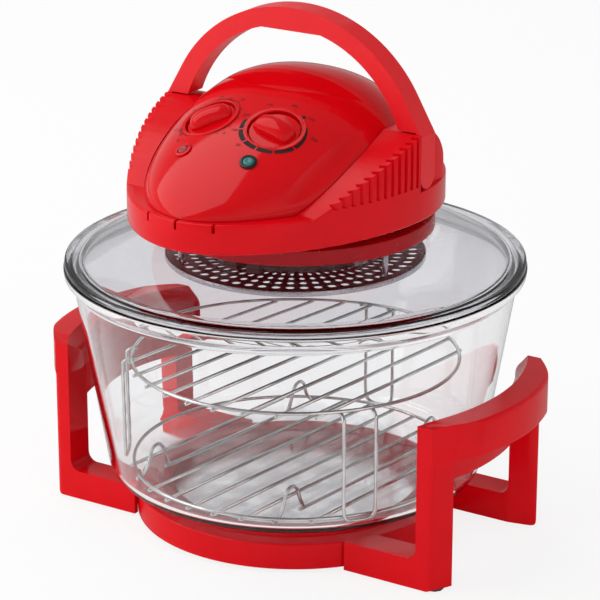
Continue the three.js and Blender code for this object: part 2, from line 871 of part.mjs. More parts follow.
// Unit dome turned about Z, then each ring stretched to the cover's outline and lifted to its height
function coverBlank(wall, seat, sides = wideSides) {
  const levels = [...coverRingShares, 0];
  const profile = levels.map((share, level) => new THREE.Vector2(share, level));
  const closed = new THREE.LatheGeometry([new THREE.Vector2(0, -1), ...profile], sides).rotateX(Math.PI / 2);
  const place = closed.attributes.position;
  for (let i = 0; i < place.count; i += 1) {
    const [ux, uy, level] = [place.getX(i), place.getY(i), place.getZ(i)];
    const share = Math.hypot(ux, uy);
    const angle = Math.atan2(uy, ux);
    const [ox, oy] = outlinePoint(angle, coverSide - wall, coverFront - wall, coverRear - wall, coverMiddle);
    const x = ox * share;
    const y = coverMiddle + (oy - coverMiddle) * share;
    const rise = level < 1 ? 0 : coverRise(x, y, wall);
    place.setXYZ(i, x, y, level < 0 ? seat : Math.max(bandTop + rise, seat));
  }
  return solid(closed);
}

// Frame of a control on the panel: origin on the cover's skin, Z along its normal
function panelFrame(x, y) {
  const step = fitGap;
  const slopeX = (coverRise(x + step, y, 0) - coverRise(x - step, y, 0)) / (2 * step);
  const slopeY = (coverRise(x, y + step, 0) - coverRise(x, y - step, 0)) / (2 * step);
  const normal = new THREE.Vector3(-slopeX, -slopeY, 1).normalize();
  const group = new THREE.Group();
  group.position.set(x, y, bandTop + coverRise(x, y, 0));
  group.quaternion.setFromUnitVectors(new THREE.Vector3(0, 0, 1), normal);
  group.updateMatrix();
  return group;
}

const timerFrame = panelFrame(-controlSpacing, -knobForward);
const thermostatFrame = panelFrame(controlSpacing, -knobForward);
const powerFrame = panelFrame(-controlSpacing, -lensForward);
const heatFrame = panelFrame(controlSpacing, -lensForward);

const onPanel = (frame, geometry) => solid(geometry.applyMatrix4(frame.matrix));

const coverSeat = bandTop + fitGap;
const wellFloor = -wellDepth;

function topCover() {
  const outer = coverBlank(0, coverSeat);
  const inner = coverBlank(mouldWall, coverSeat - cutOverrun, liningSides);
  const cupHeight = mouldWall - wellFloor - cupDrop;
  const cups = [timerFrame, thermostatFrame].map((frame) => onPanel(
    frame, post(wellRadius + mouldWall, cupHeight, 0, 0, wellFloor - mouldWall, midSides),
  ));
  const cuts = [];
  [timerFrame, thermostatFrame].forEach((frame) => {
    cuts.push(onPanel(frame, post(wellRadius, knobHeight - wellFloor, 0, 0, wellFloor, midSides)));
    const bore = spindleRadius + runningGap;
    cuts.push(onPanel(frame, post(bore, 2 * mouldWall + cutOverrun, 0, 0, wellFloor - 2 * mouldWall)));
  });
  [powerFrame, heatFrame].forEach((frame) => {
    const bore = lampRadius + fitGap;
    cuts.push(onPanel(frame, post(bore, lampLength, 0, 0, -lampLength / 2)));
  });
  return union([outer.subtract(inner), ...cups]).subtract(union(cuts));
}

// Lower housing with its deck, shoulders, grooves and vents
function shoulderHeight(y) {
  const run = handleFront() - y;
  return shoulderTop - shoulderSlopeShare * run - (shoulderCurveShare * run * run) / bandSide;
}

function handleFront() {
  return pivotY - handleDepth / 2 - fitGap;
}

const shoulderRunShares = [0, 0.12, 0.25, 0.4, 0.55, 0.7, 0.85, 1];
const hubArcShares = [0.08, 0.2, 0.35, 0.5, 0.65, 0.8, 0.95];

// Side view of a shoulder, shrunk by a wall
function shoulderSide(wall) {
  const base = bandTop - mouldWall;
  const front = wall - bandFront * shoulderStartShare;
  const rear = handleFront() - wall;
  const points = [[front, base]];
  shoulderRunShares.slice().reverse().forEach((share) => {
    const y = rear + (front - rear) * share;
    points.push([y, Math.max(shoulderHeight(y) - wall, base + cutOverrun)]);
  });
  hubArcShares.forEach((share) => {
    const [along, up] = polar(hubRadius - wall, Math.PI / 2 - share * Math.PI / 2 * hubSweepShare);
    points.push([pivotY + along, pivotHeight + up]);
  });
  points.push([pivotY + hubRadius - wall, base]);
  return points;
}

const shoulderStartShare = 0.61;
const hubSweepShare = 1.16;

function rightShoulder() {
  const roof = shoulderTop + cutOverrun;
  const base = bandTop - mouldWall;
  const reach = bandSide + cutOverrun;
  const outerPlan = solid(raised(bandOutline(0), base, roof));
  const innerPlan = solid(raised(bandOutline(mouldWall), bandBottom, roof));
  const wallLine = solid(alongX(shoulderSide(0), hubInner / 2, reach)).intersect(outerPlan);
  const hollow = solid(alongX(shoulderSide(mouldWall), hubInner / 2, reach)).intersect(innerPlan);
  const pocketFront = handleFront();
  const behind = bandSide;
  const pocket = solid(block(hubOuter, reach, pocketFront, behind, bandTop, roof));
  const pocketWall = solid(block(hubOuter - mouldWall, reach, pocketFront - mouldWall, behind, base, roof));
  const coverRoom = coverBlank(-2 * runningGap, base - cutOverrun, liningSides);
  return wallLine.subtract(pocket).subtract(hollow.subtract(pocketWall)).subtract(coverRoom);
}

// Groove places follow the band's outline at even steps along Y
function grooves() {
  const cuts = [];
  for (let i = 0; i < grooveCount; i += 1) {
    const y = -(grooveFirst + ((grooveLast - grooveFirst) * i) / (grooveCount - 1));
    const away = (-y) / bandFront;
    const x = bandSide * (1 - away ** bandFrontPower) ** (1 / bandFrontPower);
    const slope = (x / y) * (away ** bandFrontPower) / (1 - away ** bandFrontPower);
    const turn = Math.atan(-slope);
    const height = shoulderTop + cutOverrun - grooveBottom;
    const flute = new THREE.BoxGeometry(2 * grooveDepth, grooveWidth, height);
    cuts.push(solid(moved(flute.rotateZ(turn), x, y, grooveBottom + height / 2)));
  }
  return union(cuts);
}

function housingFloorCuts() {
  const cuts = [];
  for (let i = 0; i < ventCount; i += 1) {
    const vent = block(spigotRadius - 2 * mouldWall - ventLength, spigotRadius - 2 * mouldWall,
      -ventWidth / 2, ventWidth / 2, bandBottom - cutOverrun, bandBottom + mouldWall + cutOverrun);
    cuts.push(solid(vent.rotateZ((2 * Math.PI * i) / ventCount)));
  }
  const holeDepth = mouldWall + 2 * cutOverrun;
  cuts.push(solid(post(floorHoleRadius, holeDepth, 0, 0, bandBottom - cutOverrun, midSides)));
  return union(cuts);
}

function lowerHousing() {
  const band = solid(raised(bandOutline(0), bandBottom, bandTop));
  const room = solid(raised(bandOutline(mouldWall), bandBottom + mouldWall, bandTop - mouldWall));
  const coverInset = 2 * mouldWall;
  const opening = solid(raised(
    headOutline(coverSide - coverInset, coverFront - coverInset, coverRear - coverInset, coverMiddle),
    bandTop - mouldWall - cutOverrun,
    bandTop + cutOverrun,
  ));
  const spigot = solid(turnedRing([
    [spigotRadius, neckTop + fitGap],
    [spigotRadius, bandBottom + mouldWall],
    [spigotRadius - mouldWall, bandBottom + mouldWall],
    [spigotRadius - mouldWall, neckTop + fitGap],
  ]));
  const shoulder = rightShoulder().subtract(grooves());
  const shaftHoles = solid(pinAlongX(stubRadius + fitGap, -bandSide, bandSide, pivotY, pivotHeight));
  const slots = [-1, 0, 1].map((step) => solid(block(
    step * slotSpacing - slotWidth / 2, step * slotSpacing + slotWidth / 2,
    -bandFront - cutOverrun, -bandFront * slotStartShare,
    bandTop - slotHeight, bandTop + cutOverrun,
  )));
  const rearWall = bandSide - mouldWall;
  const inletHole = solid(block(
    -inletWidth / 2 - fitGap, inletWidth / 2 + fitGap, rearWall - mouldWall, bandSide + cutOverrun,
    inletFloor() - fitGap, inletFloor() + inletHeight + fitGap,
  ));
  const shell = union([band.subtract(room), shoulder, mirrorAcross(shoulder), spigot]);
  const hollowUnder = shoulderHollow();
  return shell.subtract(union([
    opening, shaftHoles, inletHole, housingFloorCuts(), hollowUnder, mirrorAcross(hollowUnder), ...slots,
  ]));
}

// Opening in the deck under each hollow shoulder
function shoulderHollow() {
  const [bottom, top] = [bandTop - mouldWall - cutOverrun, bandTop + cutOverrun];
  const plan = solid(raised(bandOutline(2 * mouldWall), bottom, top));
  const sideView = solid(block(
    hubInner + mouldWall, hubOuter - mouldWall, -grooveFirst, pivotY + hubRadius - 2 * mouldWall,
    bottom, top,
  ));
  return plan.intersect(sideView).subtract(coverBlank(-fitGap - mouldWall, bandTop - 2 * mouldWall));
}

const slotStartShare = 0.94;

function inletFloor() {
  return bandBottom + mouldWall + fitGap;
}

headGroup.add(
  mesh('lower_housing', lowerHousing(), redSatin),
  mesh('top_cover', topCover(), redGloss),
);

// Carrying handle: round bow, thin cheeks beside the hubs and stub pins through them
function handleOutline() {
  const outer = [];
  const inner = [];
  const lowAngle = Math.asin((hubRadius + runningGap) / handleInnerRadius);
  bowShares.forEach((share) => {
    const angle = handleTangent + share * (Math.PI - 2 * handleTangent);
    outer.push(polar(handleRadius, angle));
  });
  const gripAngle = Math.acos(handleGripRadius / handleInnerRadius);
  const sideSpan = Math.PI / 2 - gripAngle - lowAngle;
  bowSideShares.forEach((share) => {
    inner.push(polar(handleInnerRadius, Math.PI - lowAngle - share * sideSpan));
  });
  bowSideShares.slice().reverse().forEach((share) => {
    inner.push(polar(handleInnerRadius, lowAngle + share * sideSpan));
  });
  const cheek = bandSide - fitGap;
  const [startX, startZ] = polar(handleRadius, handleTangent);
  const drop = (cheek - startX) / Math.tan(handleTangent);
  const foot = hubRadius / 2;
  return [
    [cheek, foot], [cheek, startZ - drop], ...outer, [-cheek, startZ - drop], [-cheek, foot],
    [-hubOuter - fitGap, foot], [-hubOuter - fitGap, hubRadius + runningGap], ...inner,
    [hubOuter + fitGap, hubRadius + runningGap], [hubOuter + fitGap, foot],
  ].map(([x, z]) => [x, z + pivotHeight]);
}

const bowShares = [0, 0.07, 0.14, 0.21, 0.29, 0.37, 0.45, 0.5, 0.55, 0.63, 0.71, 0.79, 0.86, 0.93, 1];
const bowSideShares = [0, 0.25, 0.5, 0.75, 1];

function carryHandle() {
  const half = handleDepth / 2;
  const bow = solid(alongY(handleOutline(), pivotY - half, pivotY + half));
  const hubSwing = solid(pinAlongX(
    hubRadius + runningGap, -hubOuter - fitGap, hubOuter + fitGap, pivotY, pivotHeight, midSides,
  ));
  const cheekPlate = [];
  [1, -1].forEach((side) => {
    const inner = hubOuter + fitGap;
    const outer = bandSide - fitGap;
    const [from, to] = side > 0 ? [inner, outer] : [-outer, -inner];
    cheekPlate.push(solid(pinAlongX(half, from, to, pivotY, pivotHeight, midSides)));
    cheekPlate.push(solid(block(
      from, to, pivotY - half, pivotY + half, pivotHeight, pivotHeight + hubRadius,
    )));
    const [stubFrom, stubTo] = side > 0 ? [stubInner, inner + fitGap] : [-inner - fitGap, -stubInner];
    cheekPlate.push(solid(pinAlongX(stubRadius, stubFrom, stubTo, pivotY, pivotHeight)));
  });
  const cam = solid(alongX([
    [pivotY - stubRadius / 2, pivotHeight],
    [pivotY + stubRadius / 2, pivotHeight],
    [pivotY + stubRadius / 4, pivotHeight + camRadius],
    [pivotY - stubRadius / 4, pivotHeight + camRadius],
  ], stubInner, stubInner + switchWidth - runningGap));
  return union([bow.subtract(hubSwing), ...cheekPlate, cam]);
}

function handleClip() {
  const from = stubInner + switchWidth + runningGap;
  const to = from + clipThickness;
  const bore = pinAlongX(stubRadius + fitGap / 2, from - cutOverrun, to + cutOverrun, pivotY, pivotHeight);
  return solid(pinAlongX(clipRadius, from, to, pivotY, pivotHeight)).subtract(solid(bore));
}

headGroup.add(
  mesh('carry_handle', carryHandle(), redSatin),
  mesh('right_handle_clip', handleClip(), brightSteel),
  mesh('left_handle_clip', mirrorAcross(handleClip()), brightSteel),
);

// Lid switch beside the right hub, worked by the cam on the handle's stub
const plungerStart = pivotY + stubRadius + fitGap + fitGap / 2;
const switchFront = plungerStart + plungerLength;

function lidSwitch() {
  const from = stubInner;
  const body = solid(block(
    from, from + switchWidth, switchFront, switchFront + switchDepth,
    pivotHeight - switchHeight / 2, pivotHeight + switchHeight / 2,
  ));
  const travelRoom = camRadius - stubRadius;
  const bore = solid(pinAlongY(
    plungerRadius + fitGap / 2, switchFront - cutOverrun, switchFront + 2 * travelRoom + plungerLength / 2,
    from + switchWidth / 2, pivotHeight,
  ));
  return body.subtract(bore);
}

function switchPlunger() {
  const end = switchFront + plungerLength / 2;
  return solid(pinAlongY(plungerRadius, plungerStart, end, stubInner + switchWidth / 2, pivotHeight));
}

headGroup.add(
  mesh('lid_switch', lidSwitch(), blackPlastic),
  mesh('switch_plunger', switchPlunger(), whiteCeramic),
);

// Knobs, spindles, switchgear and indicator lamps on the panel
const panelMesh = (name, frame, part, finish) => {
  const piece = mesh(name, part, finish);
  frame.add(piece);
  return piece;
};

function knob() {
  const floor = wellFloor + runningGap;
  const rim = floor + knobHeight;
  const body = solid(turned([
    [0, floor],
    [knobRadius - fitGap, floor],
    [knobRadius, floor + fitGap],
    [knobRadius, rim - knobBevel],
    [knobRadius * knobCrownShare, rim],
    [0, rim],
  ], midSides));
  const section = gripBarShares.map(([out, up]) => [(out * gripBarWidth) / 2, rim + up * gripBarHeight]);
  const back = section.slice(1).map(([out, up]) => [-out, up]);
  const foot = [[gripBarWidth / 2, rim - knobBevel], [-gripBarWidth / 2, rim - knobBevel]];
  const crown = barCrownShares.map(([out, up]) => [out * knobRadius, rim + up * gripBarHeight]);
  const gripBar = solid(alongX([...section.reverse(), ...back, foot[1], foot[0]], -knobRadius, knobRadius))
    .intersect(solid(turned([[0, floor], [knobRadius * knobCrownShare, floor], ...crown], midSides)));
  const bore = solid(post(spindleRadius + fitGap, knobHeight + cutOverrun, 0, 0, floor - cutOverrun));
  return union([body, gripBar]).subtract(bore);
}

const knobCrownShare = 0.9;
const gripBarShares = [[0, 1], [0.45, 0.97], [0.75, 0.8], [0.92, 0.45], [1, 0]];
const barCrownShares = [[0.9, 0.1], [0.84, 0.5], [0.7, 0.78], [0.45, 0.94], [0, 1]];
const gearTop = wellFloor - mouldWall - fitGap;

function spindle() {
  const top = wellFloor + runningGap + knobHeight - fitGap;
  return solid(post(spindleRadius, spindleLength, 0, 0, top - spindleLength));
}

function spindleBore() {
  const bottom = wellFloor + runningGap + knobHeight - fitGap - spindleLength;
  return solid(post(spindleRadius + fitGap, spindleLength + cutOverrun, 0, 0, bottom - fitGap));
}

function timerBody() {
  const half = timerWidth / 2;
  return solid(block(-half, half, -half, half, gearTop - timerDepth, gearTop)).subtract(spindleBore());
}

function thermostatBody() {
  return solid(post(thermostatRadius, thermostatDepth, 0, 0, gearTop - thermostatDepth, midSides))
    .subtract(spindleBore());
}

const lensProfileShares = [[1, 0], [1, 0.3], [0.8, 0.75], [0.4, 0.96], [0, 1]];

function lens() {
  const dome = lensProfileShares.map(([out, up]) => [lensRadius * out, fitGap + lensHeight * up]);
  return solid(turned([[0, fitGap], ...dome], midSides));
}

function lampBody() {
  return solid(post(lampRadius, lampLength - fitGap, 0, 0, -lampLength + fitGap / 2));
}

panelMesh('timer_knob', timerFrame, knob(), redGloss);
panelMesh('timer_spindle', timerFrame, spindle(), brightSteel);
panelMesh('timer_body', timerFrame, timerBody(), whiteCeramic);
panelMesh('thermostat_knob', thermostatFrame, knob(), redGloss);
panelMesh('thermostat_spindle', thermostatFrame, spindle(), brightSteel);
panelMesh('thermostat_body', thermostatFrame, thermostatBody(), castAluminium);
panelMesh('power_lens', powerFrame, lens(), redLens);
panelMesh('power_lamp', powerFrame, lampBody(), whiteCeramic);
panelMesh('heat_lens', heatFrame, lens(), greenLens);
panelMesh('heat_lamp', heatFrame, lampBody(), whiteCeramic);
headGroup.add(timerFrame, thermostatFrame, powerFrame, heatFrame);

// Heat shield, fan, halogen lamp and guard under the lid
function heatShield() {
  const under = lidNeckTop - lidGlass - fitGap;
  const rim = lidHoleRadius - runningGap;
  return solid(turnedRing([
    [shieldHoleRadius, shieldHeight],
    [rim - sheetSteel, shieldHeight],
    [rim - sheetSteel, under],
    [rim, under],
    [rim, shieldHeight - sheetSteel],
    [shieldHoleRadius, shieldHeight - sheetSteel],
  ], midSides));
}

function studPlaces() {
  return studAngles.map((angle) => polar(studCircle, angle));
}

const studAngles = [-10, 110, 230].map(THREE.MathUtils.degToRad);

function guard() {
  const dish = solid(turned([
    [0, guardFloor],
    [guardFloorRadius, guardFloor],
    [guardRadius, guardFloor + sheetSteel],
    [guardRadius, guardTop],
    [guardRadius - sheetSteel, guardTop],
    [guardRadius - sheetSteel, guardFloor + 2 * sheetSteel],
    [guardFloorRadius, guardFloor + sheetSteel],
    [0, guardFloor + sheetSteel],
  ], midSides + smallSides));
  const holes = [];
  guardRows.forEach((row) => {
    const radius = guardHoleCircle - row * guardRowSpacing;
    const count = Math.round((guardHoleCount * radius) / guardHoleCircle);
    for (let i = 0; i < count; i += 1) {
      const [x, y] = polar(radius, (2 * Math.PI * (i + row / 2)) / count);
      const depth = sheetSteel + 2 * cutOverrun;
      holes.push(solid(post(guardHoleRadius, depth, x, y, guardFloor - cutOverrun, guardHoleSides)));
    }
  });
  studPlaces().forEach(([x, y]) => {
    holes.push(solid(post(studRadius + fitGap, sheetSteel + 2 * cutOverrun, x, y, guardFloor - cutOverrun)));
  });
  return dish.subtract(wasm.Manifold.union(holes));
}

const guardRows = [0, 1];
const guardHoleSides = 5;

function guardStud([x, y]) {
  const bottom = guardFloor - studNutHeight - fitGap;
  const stem = solid(post(studRadius, shieldHeight - sheetSteel - fitGap - bottom, x, y, bottom));
  return stem.add(solid(post(studNutRadius, studNutHeight, x, y, bottom, hexSides)));
}

// Lamp tube: an open ring whose two ends turn up into ceramic caps
function halogenTube() {
  const points = [];
  for (let i = 0; i <= lampRingSteps; i += 1) {
    const angle = lampRingGap / 2 + ((2 * Math.PI - lampRingGap) * i) / lampRingSteps - Math.PI / 2;
    const [x, y] = polar(lampRingRadius, angle);
    points.push(new THREE.Vector3(x, y, lampRingHeight));
  }
  const path = new THREE.CatmullRomCurve3(points);
  const options = { steps: lampRingSteps, extrudePath: path, bevelEnabled: false };
  return solid(new THREE.ExtrudeGeometry(circleShape(lampTubeRadius, 8), options));
}

const lampRingSteps = 28;

function lampCap(side) {
  const top = shieldHeight - sheetSteel - fitGap;
  const angle = -Math.PI / 2 + (side * lampRingGap) / 2;
  const back = (side * (capLength / 2 + 2 * runningGap)) / lampRingRadius;
  const [x, y] = polar(lampRingRadius, angle - back);
  const half = capLength / 2;
  const base = lampRingHeight - lampTubeRadius - fitGap;
  const cap = block(-half, half, -half, half, base, top).rotateZ(angle - back);
  return solid(moved(cap, x, y, 0));
}

function lampClip(angle) {
  const top = shieldHeight - sheetSteel - fitGap;
  const from = lampRingRadius - lampTubeRadius - 3 * fitGap - sheetSteel;
  const to = lampRingRadius + lampTubeRadius + fitGap + sheetSteel;
  const half = capLength / 4;
  const base = lampRingHeight - lampTubeRadius;
  const strap = solid(block(from, to, -half, half, base, top).rotateZ(angle));
  const room = solid(block(
    from + sheetSteel, to - sheetSteel, -half - cutOverrun, half + cutOverrun,
    base - cutOverrun, top - sheetSteel,
  ).rotateZ(angle));
  return strap.subtract(room);
}

// Fan with flat blades standing on a disc
function fan(radius, height, bladeHeight, plate) {
  const disc = solid(post(radius, plate, 0, 0, height, midSides));
  const hub = solid(post(fanHubRadius, bladeHeight + plate, 0, 0, height, midSides));
  const blades = [];
  for (let i = 0; i < fanBladeCount; i += 1) {
    const [from, to] = [fanHubRadius + plate, radius - plate];
    const blade = block(from, to, -plate / 2, plate / 2, height, height + bladeHeight);
    blades.push(solid(blade.rotateZ((2 * Math.PI * i) / fanBladeCount)));
  }
  const bore = solid(post(
    shaftRadius + fitGap, bladeHeight + plate + 2 * cutOverrun, 0, 0, height - cutOverrun,
  ));
  return union([disc, hub, ...blades]).subtract(bore);
}

const convectionFan = fan(convectionFanRadius, convectionFanHeight, convectionBladeHeight, sheetSteel);
const coolingFan = fan(coolingFanRadius, coolingFanHeight, coolingBladeHeight, mouldWall / 2);

headGroup.add(
  mesh('heat_shield', heatShield(), brightSteel),
  mesh('fan_guard', guard(), darkSteel),
  ...studPlaces().map((place, i) => mesh(`guard_stud_${i + 1}`, guardStud(place), brightSteel)),
  mesh('halogen_tube', halogenTube(), frostQuartz),
  mesh('right_lamp_cap', lampCap(1), whiteCeramic),
  mesh('left_lamp_cap', lampCap(-1), whiteCeramic),
  mesh('right_lamp_clip', lampClip(lampClipTurn), brightSteel),
  mesh('left_lamp_clip', lampClip(Math.PI - lampClipTurn), brightSteel),
  mesh('convection_fan', convectionFan, darkSteel),
  mesh('cooling_fan', coolingFan, blackPlastic),
);

// Motor under the cooling fan
const rotorBottom = statorBottom + fitGap;
const plateBottom = statorBottom - bearingThickness - runningGap;
const plateTop = statorBottom + statorHeight + runningGap;

function motorShaft() {
  return solid(post(shaftRadius, shaftTop - shaftBottom, 0, 0, shaftBottom));
}

function statorStack() {
  const [halfWidth, halfDepth] = [statorWidth / 2, statorDepth / 2];
  const [bottom, depth] = [statorBottom - cutOverrun, statorHeight + 2 * cutOverrun];
  const stack = solid(block(
    -halfWidth, halfWidth, -halfDepth, halfDepth, statorBottom, statorBottom + statorHeight,
  ));
  const bore = solid(post(statorBoreRadius, depth, 0, 0, bottom, midSides));
  const windowSide = statorBoreRadius + coilDepth / 2;
  const window = solid(block(
    -coilWidth / 2 - fitGap, coilWidth / 2 + fitGap, windowSide, halfDepth + cutOverrun,
    statorBottom - cutOverrun, statorBottom + statorHeight + cutOverrun,
  ));
  return stack.subtract(bore).subtract(window).subtract(boltHoles(bottom, depth));
}

function boltPlaces() {
  const [x, y] = [statorWidth / 2 - 2 * standoffRadius, 2 * standoffRadius - statorDepth / 2];
  return [[x, y], [-x, y]];
}

function boltHoles(bottom, height) {
  return union(boltPlaces().map(([x, y]) => solid(post(standoffRadius / 2 + fitGap, height, x, y, bottom))));
}

function motorCoil() {
  const from = statorBoreRadius + coilDepth / 2 + fitGap;
  return solid(block(
    -coilWidth / 2, coilWidth / 2, from, from + coilDepth,
    statorBottom - bearingThickness, statorBottom + statorHeight + bearingThickness,
  ));
}

function rotor() {
  const body = solid(post(rotorRadius, statorHeight - 2 * fitGap, 0, 0, rotorBottom, midSides));
  const depth = statorHeight + 2 * cutOverrun;
  return body.subtract(solid(post(shaftRadius + fitGap, depth, 0, 0, rotorBottom - cutOverrun)));
}

function bearingBridge(bottom) {
  const halfWidth = statorWidth / 2;
  const [, boltY] = boltPlaces()[0];
  const top = bottom + bearingThickness;
  const half = bearingWidth / 2;
  const bar = solid(block(-halfWidth, halfWidth, boltY - half, boltY + half, bottom, top));
  const arm = solid(block(-bearingWidth, bearingWidth, boltY, bearingWidth, bottom, top));
  const [below, depth] = [bottom - cutOverrun, bearingThickness + 2 * cutOverrun];
  const bore = solid(post(shaftRadius + fitGap, depth, 0, 0, below));
  return union([bar, arm]).subtract(bore).subtract(boltHoles(below, depth));
}

function motorBolt([x, y]) {
  const floor = bandBottom + mouldWall + fitGap;
  const pillar = solid(post(standoffRadius, plateBottom - fitGap - floor, x, y, floor));
  const end = plateTop + bearingThickness + screwHeadHeight;
  return pillar.add(solid(post(standoffRadius / 2, end - floor, x, y, floor)));
}

headGroup.add(
  mesh('motor_shaft', motorShaft(), brightSteel),
  mesh('motor_stator', statorStack(), darkSteel),
  mesh('motor_coil', motorCoil(), copperWinding),
  mesh('motor_rotor', rotor(), castAluminium),
  mesh('lower_bearing_bridge', bearingBridge(plateBottom), brightSteel),
  mesh('upper_bearing_bridge', bearingBridge(plateTop), brightSteel),
  mesh('right_motor_bolt', motorBolt(boltPlaces()[0]), brightSteel),
  mesh('left_motor_bolt', motorBolt(boltPlaces()[1]), brightSteel),
);

// Mains inlet in the rear wall, its pins and the terminal block on the floor
function mainsInlet() {
  const rear = bandSide + inletLip;
  const floor = inletFloor();
  const body = solid(block(
    -inletWidth / 2, inletWidth / 2, rear - inletDepth, rear, floor, floor + inletHeight,
  ));
  const mouth = solid(block(
    -inletWidth / 2 + mouldWall, inletWidth / 2 - mouldWall, rear - inletDepth + mouldWall, rear + cutOverrun,
    floor + mouldWall, floor + inletHeight - mouldWall,
  ));
  const holes = pinPlaces().map((x) => solid(pinAlongY(
    pinRadius + fitGap / 2, rear - inletDepth - cutOverrun, rear, x, floor + inletHeight / 2,
  )));
  return body.subtract(mouth).subtract(union(holes));
}

function pinPlaces() {
  return [-pinSpacing, 0, pinSpacing];
}

function inletPin(x) {
  const back = bandSide + inletLip - inletDepth - mouldWall;
  const height = inletFloor() + inletHeight / 2;
  return solid(pinAlongY(pinRadius, back, back + 2 * mouldWall + pinLength, x, height));
}

function terminalBlock() {
  const floor = bandBottom + mouldWall + fitGap;
  const front = terminalSetback - terminalDepth / 2;
  return solid(block(
    -terminalWidth / 2, terminalWidth / 2, front, front + terminalDepth, floor, floor + terminalHeight,
  ));
}

headGroup.add(
  mesh('mains_inlet', mainsInlet(), blackPlastic),
  ...pinPlaces().map((x, i) => mesh(`inlet_pin_${i + 1}`, inletPin(x), brassContact)),
  mesh('terminal_block', terminalBlock(), whiteCeramic),
);

const halogenOven = new THREE.Group();
halogenOven.add(standGroup, bowlGroup, headGroup);

export default halogenOven;
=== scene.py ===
import json
import logging
import math
from dataclasses import dataclass
from enum import Enum
from typing import Callable, ClassVar, Sequence

import bmesh
import bpy
from bpy.types import Material, Node, NodeTree, Object
from mathutils import Matrix, Vector

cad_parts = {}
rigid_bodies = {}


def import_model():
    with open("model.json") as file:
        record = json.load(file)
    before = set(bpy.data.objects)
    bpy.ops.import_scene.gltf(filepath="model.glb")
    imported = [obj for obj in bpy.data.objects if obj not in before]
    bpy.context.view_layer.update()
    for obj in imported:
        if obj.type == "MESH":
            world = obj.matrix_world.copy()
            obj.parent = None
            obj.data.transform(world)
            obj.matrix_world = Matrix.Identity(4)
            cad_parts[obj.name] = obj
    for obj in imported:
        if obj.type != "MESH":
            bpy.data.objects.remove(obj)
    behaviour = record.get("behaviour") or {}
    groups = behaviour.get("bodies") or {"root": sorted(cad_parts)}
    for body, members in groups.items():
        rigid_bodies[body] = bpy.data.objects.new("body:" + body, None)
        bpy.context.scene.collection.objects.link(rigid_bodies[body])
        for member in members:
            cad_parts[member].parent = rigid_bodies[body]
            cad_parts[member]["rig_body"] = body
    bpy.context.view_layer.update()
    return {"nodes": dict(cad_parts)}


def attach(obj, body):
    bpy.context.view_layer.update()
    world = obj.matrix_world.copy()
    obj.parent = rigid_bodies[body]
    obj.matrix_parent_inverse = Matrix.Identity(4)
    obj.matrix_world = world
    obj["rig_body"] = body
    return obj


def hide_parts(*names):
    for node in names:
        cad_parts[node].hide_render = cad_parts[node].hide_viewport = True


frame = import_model()

LOG = logging.getLogger("halogen_oven")
MM = 0.001
NOISE_LOW = 0.3
NOISE_HIGH = 0.7
TURN_STEPS = 192
NOSE_POWER = 1.85
PIVOT_Y = 3.0
PIVOT_Z = 278.0
Pair = tuple[float, float]
Line = list[Pair]


# Small tools

def linear(code: str) -> tuple[float, float, float, float]:
    """Turns an sRGB hex colour into linear RGBA.

    Args:
        code: colour as "#RRGGBB".

    Returns:
        Red, green, blue and an alpha of one, all linear.
    """
    parts = [int(code[i:i + 2], 16) / 255 for i in (1, 3, 5)]
    red, green, blue = [c / 12.92 if c <= 0.04045 else ((c + 0.055) / 1.055) ** 2.4 for c in parts]
    return (red, green, blue, 1.0)


def add_node(tree: NodeTree, kind: str, inputs: dict | None = None, **settings: object) -> Node:
    """Adds a node, sets it and links it.

    Args:
        tree: node tree that takes the node.
        kind: node type name.
        inputs: socket name or number to a value, or to an output socket to link.
        settings: attributes of the node itself.

    Returns:
        The new node.
    """
    node = tree.nodes.new(kind)
    for name, value in settings.items():
        setattr(node, name, value)
    for name, value in (inputs or {}).items():
        if isinstance(value, bpy.types.NodeSocket):
            tree.links.new(value, node.inputs[name])
        else:
            node.inputs[name].default_value = value
    return node


def deselect() -> None:
    """Leaves edit mode and deselects every object."""
    if bpy.context.object and bpy.context.object.mode != "OBJECT":
        bpy.ops.object.mode_set(mode="OBJECT")
    bpy.ops.object.select_all(action="DESELECT")


def only(piece: Object) -> None:
    """Makes a piece the one selected and active object.

    Args:
        piece: piece to select.
    """
    deselect()
    piece.select_set(True)
    bpy.context.view_layer.objects.active = piece


def edit(piece: Object) -> None:
    """Opens a piece in edit mode with all of it selected.

    Args:
        piece: piece to edit.
    """
    only(piece)
    bpy.ops.object.mode_set(mode="EDIT")
    bpy.ops.mesh.select_all(action="SELECT")


def choose(piece: Object, kind: str, rule: Callable[[Vector], bool]) -> None:
    """Selects by place, in edit mode.

    Args:
        piece: object being edited.
        kind: EDGE or FACE.
        rule: says from a face's middle or an edge's end, in millimetres, whether it is selected.
    """
    bpy.ops.mesh.select_mode(type=kind)
    bpy.ops.mesh.select_all(action="DESELECT")
    shape = bmesh.from_edit_mesh(piece.data)
    if kind == "FACE":
        for face in shape.faces:
            face.select = rule(face.calc_center_median() / MM)
    else:
        for edge in shape.edges:
            edge.select = all(rule(v.co / MM) for v in edge.verts)
    shape.select_flush_mode()
    bmesh.update_edit_mesh(piece.data)


